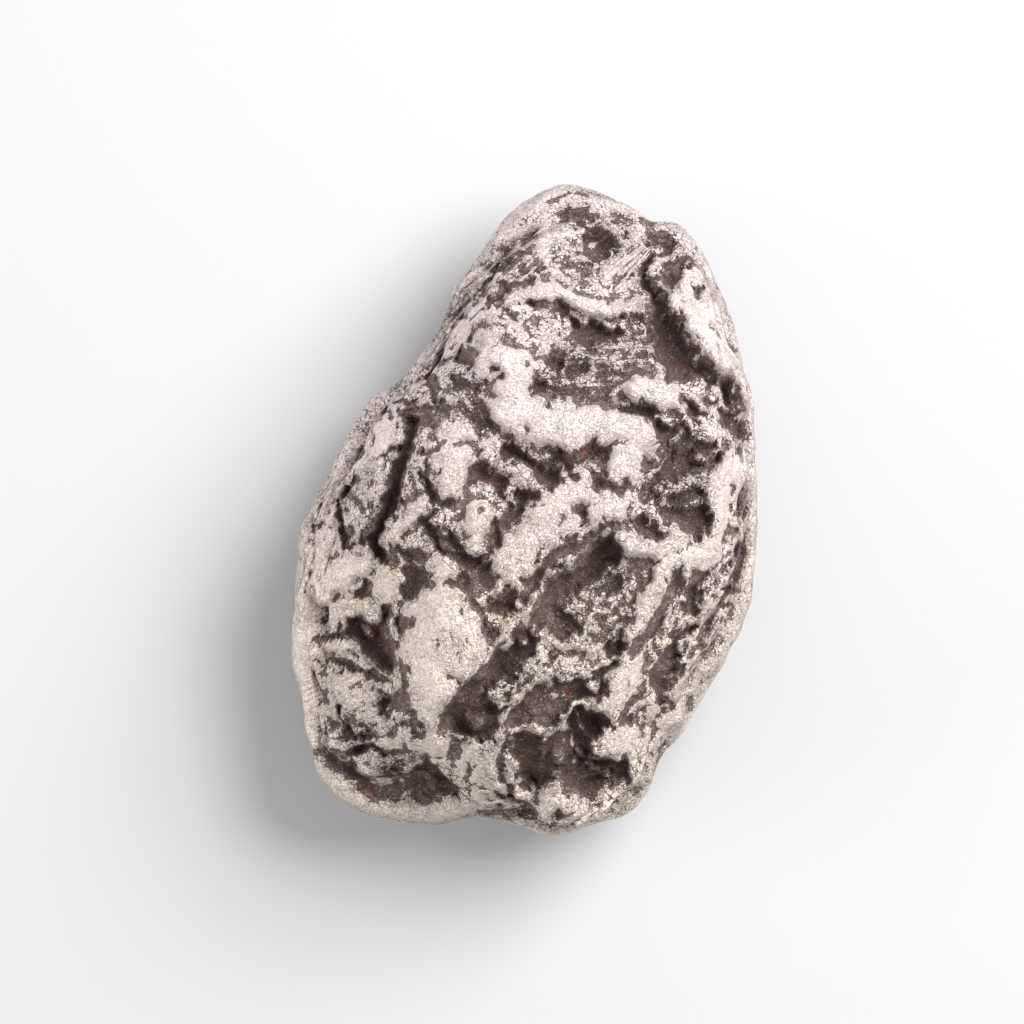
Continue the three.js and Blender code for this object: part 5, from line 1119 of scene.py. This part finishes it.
class Wiring:
    # short names for the nodes that the iron uses over and over

    def __init__(self, material):
        material.use_nodes = True
        self.nodes = material.node_tree.nodes
        self.links = material.node_tree.links
        self.place = self.nodes.new("ShaderNodeTexCoord").outputs["Object"]

    def math(self, kind, first, second=0.0):
        node = self.nodes.new("ShaderNodeMath")
        node.operation = kind
        for socket, value in zip(node.inputs, (first, second)):
            if isinstance(value, (int, float)):
                socket.default_value = value
            else:
                self.links.new(value, socket)
        return node.outputs[0]

    def plus(self, first, second):
        return self.math("ADD", first, second)

    def times(self, first, second):
        return self.math("MULTIPLY", first, second)

    def attribute(self, name):
        node = self.nodes.new("ShaderNodeAttribute")
        node.attribute_name = name
        return node.outputs["Fac"]

    def noise(self, scale, detail=2.0, bend=0.0):
        node = self.nodes.new("ShaderNodeTexNoise")
        node.inputs["Scale"].default_value = scale
        node.inputs["Detail"].default_value = detail
        node.inputs["Distortion"].default_value = bend
        self.links.new(self.place, node.inputs["Vector"])
        return node.outputs["Fac"]

    def lineNoise(self, scale):
        node = self.nodes.new("ShaderNodeTexNoise")
        node.noise_dimensions = "1D"
        node.inputs["Scale"].default_value = scale
        node.inputs["Detail"].default_value = 2.0
        self.links.new(self.attribute("linePhase"), node.inputs["W"])
        return node.outputs["Fac"]

    def thinLines(self, scale, half, strength, bend):
        # strong along the lines where the noise passes its middle, none beside them
        away = self.math("ABSOLUTE", self.plus(self.noise(scale, 2.0, bend), -0.5))
        return self.fade(away, 0.0, half, strength, 0.0)

    def patches(self, name, detail=2.0, low=0.0, high=1.0):
        scale, start, full = ironFinish[name]
        return self.fade(self.noise(scale, detail), start, full, low, high)

    def fade(self, value, low, high, start=0.0, end=1.0):
        node = self.nodes.new("ShaderNodeMapRange")
        node.interpolation_type = "SMOOTHSTEP"
        for name, number in (("From Min", low), ("From Max", high), ("To Min", start), ("To Max", end)):
            node.inputs[name].default_value = number
        self.links.new(value, node.inputs["Value"])
        return node.outputs[0]

    def mix(self, share, first, second, blend="MIX"):
        node = self.nodes.new("ShaderNodeMix")
        node.data_type = "RGBA"
        node.blend_type = blend
        for name, value in (("Factor", share), ("A", first), ("B", second)):
            if isinstance(value, (int, float, list)):
                node.inputs[name].default_value = value
            else:
                self.links.new(value, node.inputs[name])
        return node.outputs["Result"]


def crumblyGrain(wire):
    # grains with seams between them, a little bent: 0 in a seam, 1 on a grain
    bend = wire.nodes.new("ShaderNodeTexNoise")
    bend.inputs["Scale"].default_value = ironFinish["grainBendScale"]
    wire.links.new(wire.place, bend.inputs["Vector"])
    shift = wire.nodes.new("ShaderNodeVectorMath")
    shift.operation = "MULTIPLY_ADD"
    wire.links.new(bend.outputs["Color"], shift.inputs[0])
    shift.inputs[1].default_value = [ironFinish["grainBend"]] * 3
    wire.links.new(wire.place, shift.inputs[2])
    cells = wire.nodes.new("ShaderNodeTexVoronoi")
    cells.feature = "DISTANCE_TO_EDGE"
    cells.inputs["Scale"].default_value = ironFinish["grainScale"]
    wire.links.new(shift.outputs["Vector"], cells.inputs["Vector"])
    return wire.fade(cells.outputs["Distance"], *ironFinish["grainSeam"])


def silverColour(wire, pepper, thread):
    # bare silver, warmer towards the foot, with pepper pits, stains and threads of tarnish
    split = wire.nodes.new("ShaderNodeSeparateXYZ")
    wire.links.new(wire.place, split.inputs[0])
    scale, reach = ironFinish["warmthWander"]
    wander = wire.times(wire.plus(wire.noise(scale), -0.5), reach)
    warmth = wire.fade(wire.plus(split.outputs["Y"], wander), *ironFinish["warmthRange"])
    silver = wire.mix(warmth, linear(ironFinish["silverLower"]), linear(ironFinish["silverUpper"]))
    stain = wire.math("MAXIMUM", wire.patches("stain", 3.0), wire.patches("mottle", 4.0))
    stain = wire.times(stain, ironFinish["stainShare"])
    share = wire.plus(wire.times(pepper, ironFinish["pepperShare"]), stain)
    tarnished = wire.mix(share, silver, linear(ironFinish["tarnish"]))
    onSilver = ironFinish["thread"][2]
    return silver, wire.mix(wire.times(thread, onSilver), tarnished, linear(ironFinish["tarnish"]))


def oxideColour(wire, value, thread):
    # grey at the edges, then brown, then deep, with pale threads and a dark line of painted shade beside the
    # silver
    ramp = wire.nodes.new("ShaderNodeValToRGB")
    stops = ramp.color_ramp.elements
    stops[0].position, stops[0].color = ironFinish["ramp"][1], linear(ironFinish["grey"])
    stops[1].position, stops[1].color = ironFinish["ramp"][2], linear(ironFinish["brown"])
    stops.new(ironFinish["ramp"][3]).color = linear(ironFinish["deep"])
    wire.links.new(value, ramp.inputs[0])
    onOxide = ironFinish["thread"][3]
    oxide = wire.mix(wire.times(thread, onOxide), ramp.outputs["Color"], linear(ironFinish["grey"]))
    # painted shade: a dark line where the patina leaves the silver
    share = ironFinish["creviceShadeShare"]
    creviceShade = wire.times(wire.fade(value, *ironFinish["creviceShadeStart"]),
                         wire.fade(value, *ironFinish["creviceShadeEnd"], share, 0.0))
    return wire.mix(creviceShade, oxide, linear(ironFinish["creviceShade"]))


def makeIron():
    print("stone: iron")
    material = bpy.data.materials.new("meteoriticIron")
    wire = Wiring(material)
    shader = wire.nodes["Principled BSDF"]

    # patina with painted light and shade, broken up into ragged edges and specks
    uneven = 0.0
    for scale, strength in ironFinish["speckle"]:
        uneven = wire.plus(uneven, wire.times(wire.plus(wire.noise(scale), -0.5), strength))
    value = wire.plus(wire.attribute("patinaAndShading"), wire.times(uneven, wire.attribute("broken")))
    scale, start, full = ironFinish["streak"]
    streak = wire.times(wire.fade(wire.lineNoise(scale), start, full), wire.attribute("lineShare"))
    value = wire.plus(value, wire.times(streak, ironFinish["streakShare"]))

    # thin dark creases that run through the silver
    everywhere = 0.0
    for scale, half, strength in ironFinish["creases"]:
        everywhere = wire.plus(everywhere, wire.thinLines(scale, half, strength, ironFinish["creaseBend"]))
    crease = wire.times(everywhere, wire.attribute("crinkle"))
    value = wire.plus(value, crease)

    # grains with dark seams where the surface is crumbly
    grain = crumblyGrain(wire)
    crumbly = wire.attribute("grain")
    seam = wire.times(wire.math("SUBTRACT", ironFinish["seamLevel"], grain), crumbly)
    seam = wire.times(seam, wire.attribute("broken"))
    value = wire.plus(value, wire.times(seam, ironFinish["seamShare"]))

    # colour
    pepper = wire.patches("pepper")
    scale, half = ironFinish["thread"][:2]
    thread = wire.thinLines(scale, half, 1.0, ironFinish["threadBend"])
    silver, tarnished = silverColour(wire, pepper, thread)
    bare = wire.fade(value, ironFinish["ramp"][0], ironFinish["ramp"][1], 1.0, 0.0)   # 1 on bare metal
    fleck = wire.patches("fleck", 3.0, 0.0, ironFinish["fleckMost"])
    fleck = wire.times(fleck, wire.patches("fleckPatch", 2.0, ironFinish["fleckLeast"], 1.0))
    oxide = wire.mix(fleck, oxideColour(wire, value, thread), silver)
    colour = wire.mix(bare, oxide, tarnished)
    # painted shade in the fine creases and faint lines, which darkens them towards the crevice colour
    creaseShade = wire.math("MAXIMUM", wire.times(crease, ironFinish["creaseShadeShare"]),
                      wire.times(everywhere, ironFinish["faintShadeShare"]))
    colour = wire.mix(creaseShade, colour, linear(ironFinish["creviceShade"]))
    tone = wire.patches("tone", 3.0, *ironFinish["toneRange"])
    colour = wire.mix(1.0, colour, tone, "MULTIPLY")
    rusty = wire.times(wire.attribute("rust"), wire.patches("rustPatch", 4.0, 0.0, ironFinish["rustShare"]))
    wire.links.new(wire.mix(rusty, colour, linear(ironFinish["rust"])), shader.inputs["Base Color"])
    for socket, name in (("Metallic", "metal"), ("Roughness", "roughness")):
        onSilver, onOxide = ironFinish[name]
        wire.links.new(wire.plus(wire.times(bare, onSilver - onOxide), onOxide), shader.inputs[socket])

    # fine relief: grains all over, pits, streaks, and a step at each patina edge
    height = 0.0
    for scale, strength in ironFinish["bump"]:
        height = wire.plus(height, wire.times(wire.noise(scale, 3.0), strength))
    parts = {"bare": bare, "pepper": pepper, "streak": streak, "crease": crease, "fleck": fleck,
             "grain": wire.times(grain, crumbly)}
    for name, share in ironFinish["bumpShares"].items():
        height = wire.plus(height, wire.times(parts[name], share))
    bump = wire.nodes.new("ShaderNodeBump")
    bump.inputs["Strength"].default_value = 1.0
    bump.inputs["Distance"].default_value = ironFinish["bumpDepth"]
    wire.links.new(height, bump.inputs["Height"])
    wire.links.new(bump.outputs["Normal"], shader.inputs["Normal"])
    return material


# Floor, light and camera, in metres

studio = {
    "floorColour": (214, 214, 215), "floorRoughness": 0.9, "floorSize": 3.0,
    "worldColour": (250, 250, 252), "worldStrength": 0.47,
    "keyPlace": (0.27, 0.20, 0.37), "keySize": 0.40, "keyEnergy": 3.35,
    "fillPlace": (-0.42, -0.04, 0.11), "fillSize": 0.3, "fillEnergy": 1.0,
    "aimHeight": 0.012,                                   # the lights point at this height over the middle
    "pixelsPerMm": 10.0, "picture": 1024,
    "centreX": 524.5, "centreY": 510.0,                   # where the stone's middle shows in the picture
    "lens": 400.0, "sensor": 36.0, "level": 0.011,        # level is the height at which the outline is seen
}


def addLight(name):
    lamp = bpy.data.lights.new(name, "AREA")
    lamp.shape = "DISK"
    lamp.size = studio[name + "Size"]
    lamp.energy = studio[name + "Energy"]
    holder = bpy.data.objects.new(name, lamp)
    holder.location = studio[name + "Place"]
    x, y, z = studio[name + "Place"]
    holder.rotation_euler = (0, math.atan2(math.hypot(x, y), z - studio["aimHeight"]), math.atan2(y, x))
    bpy.context.scene.collection.objects.link(holder)


def addFloor():
    half = studio["floorSize"] / 2
    corners = [(-half, -half, 0), (half, -half, 0), (half, half, 0), (-half, half, 0)]
    mesh = bpy.data.meshes.new("floor")
    mesh.from_pydata(corners, [], [(0, 1, 2, 3)])
    floor = bpy.data.objects.new("floor", mesh)
    bpy.context.scene.collection.objects.link(floor)
    paper = bpy.data.materials.new("paper")
    paper.use_nodes = True
    shader = paper.node_tree.nodes["Principled BSDF"]
    shader.inputs["Base Color"].default_value = linear(studio["floorColour"])
    shader.inputs["Roughness"].default_value = studio["floorRoughness"]
    mesh.materials.append(paper)


def addCamera():
    camera = bpy.data.cameras.new("camera")
    camera.lens = studio["lens"]
    camera.sensor_width = studio["sensor"]
    metresPerPixel = 0.001 / studio["pixelsPerMm"]
    distance = studio["picture"] * metresPerPixel / studio["sensor"] * studio["lens"]
    middle = studio["picture"] / 2
    holder = bpy.data.objects.new("camera", camera)
    holder.location = ((middle - studio["centreX"]) * metresPerPixel,
                       (studio["centreY"] - middle) * metresPerPixel, studio["level"] + distance)
    bpy.context.scene.collection.objects.link(holder)
    bpy.context.scene.camera = holder
    print("studio: camera", round(distance, 3), "m above the outline")


def makeStudio():
    scene = bpy.context.scene
    scene.view_settings.view_transform = "Standard"
    scene.world = bpy.data.worlds.new("softRoom")
    scene.world.use_nodes = True
    sky = scene.world.node_tree.nodes["Background"]
    sky.inputs["Color"].default_value = linear(studio["worldColour"])
    sky.inputs["Strength"].default_value = studio["worldStrength"]
    addFloor()
    addLight("key")
    addLight("fill")
    addCamera()


makeStudio()
stone = makeStone()
stone.data.materials.append(makeIron())
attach(stone, "root")
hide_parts("meteorite")
print("stone: done")
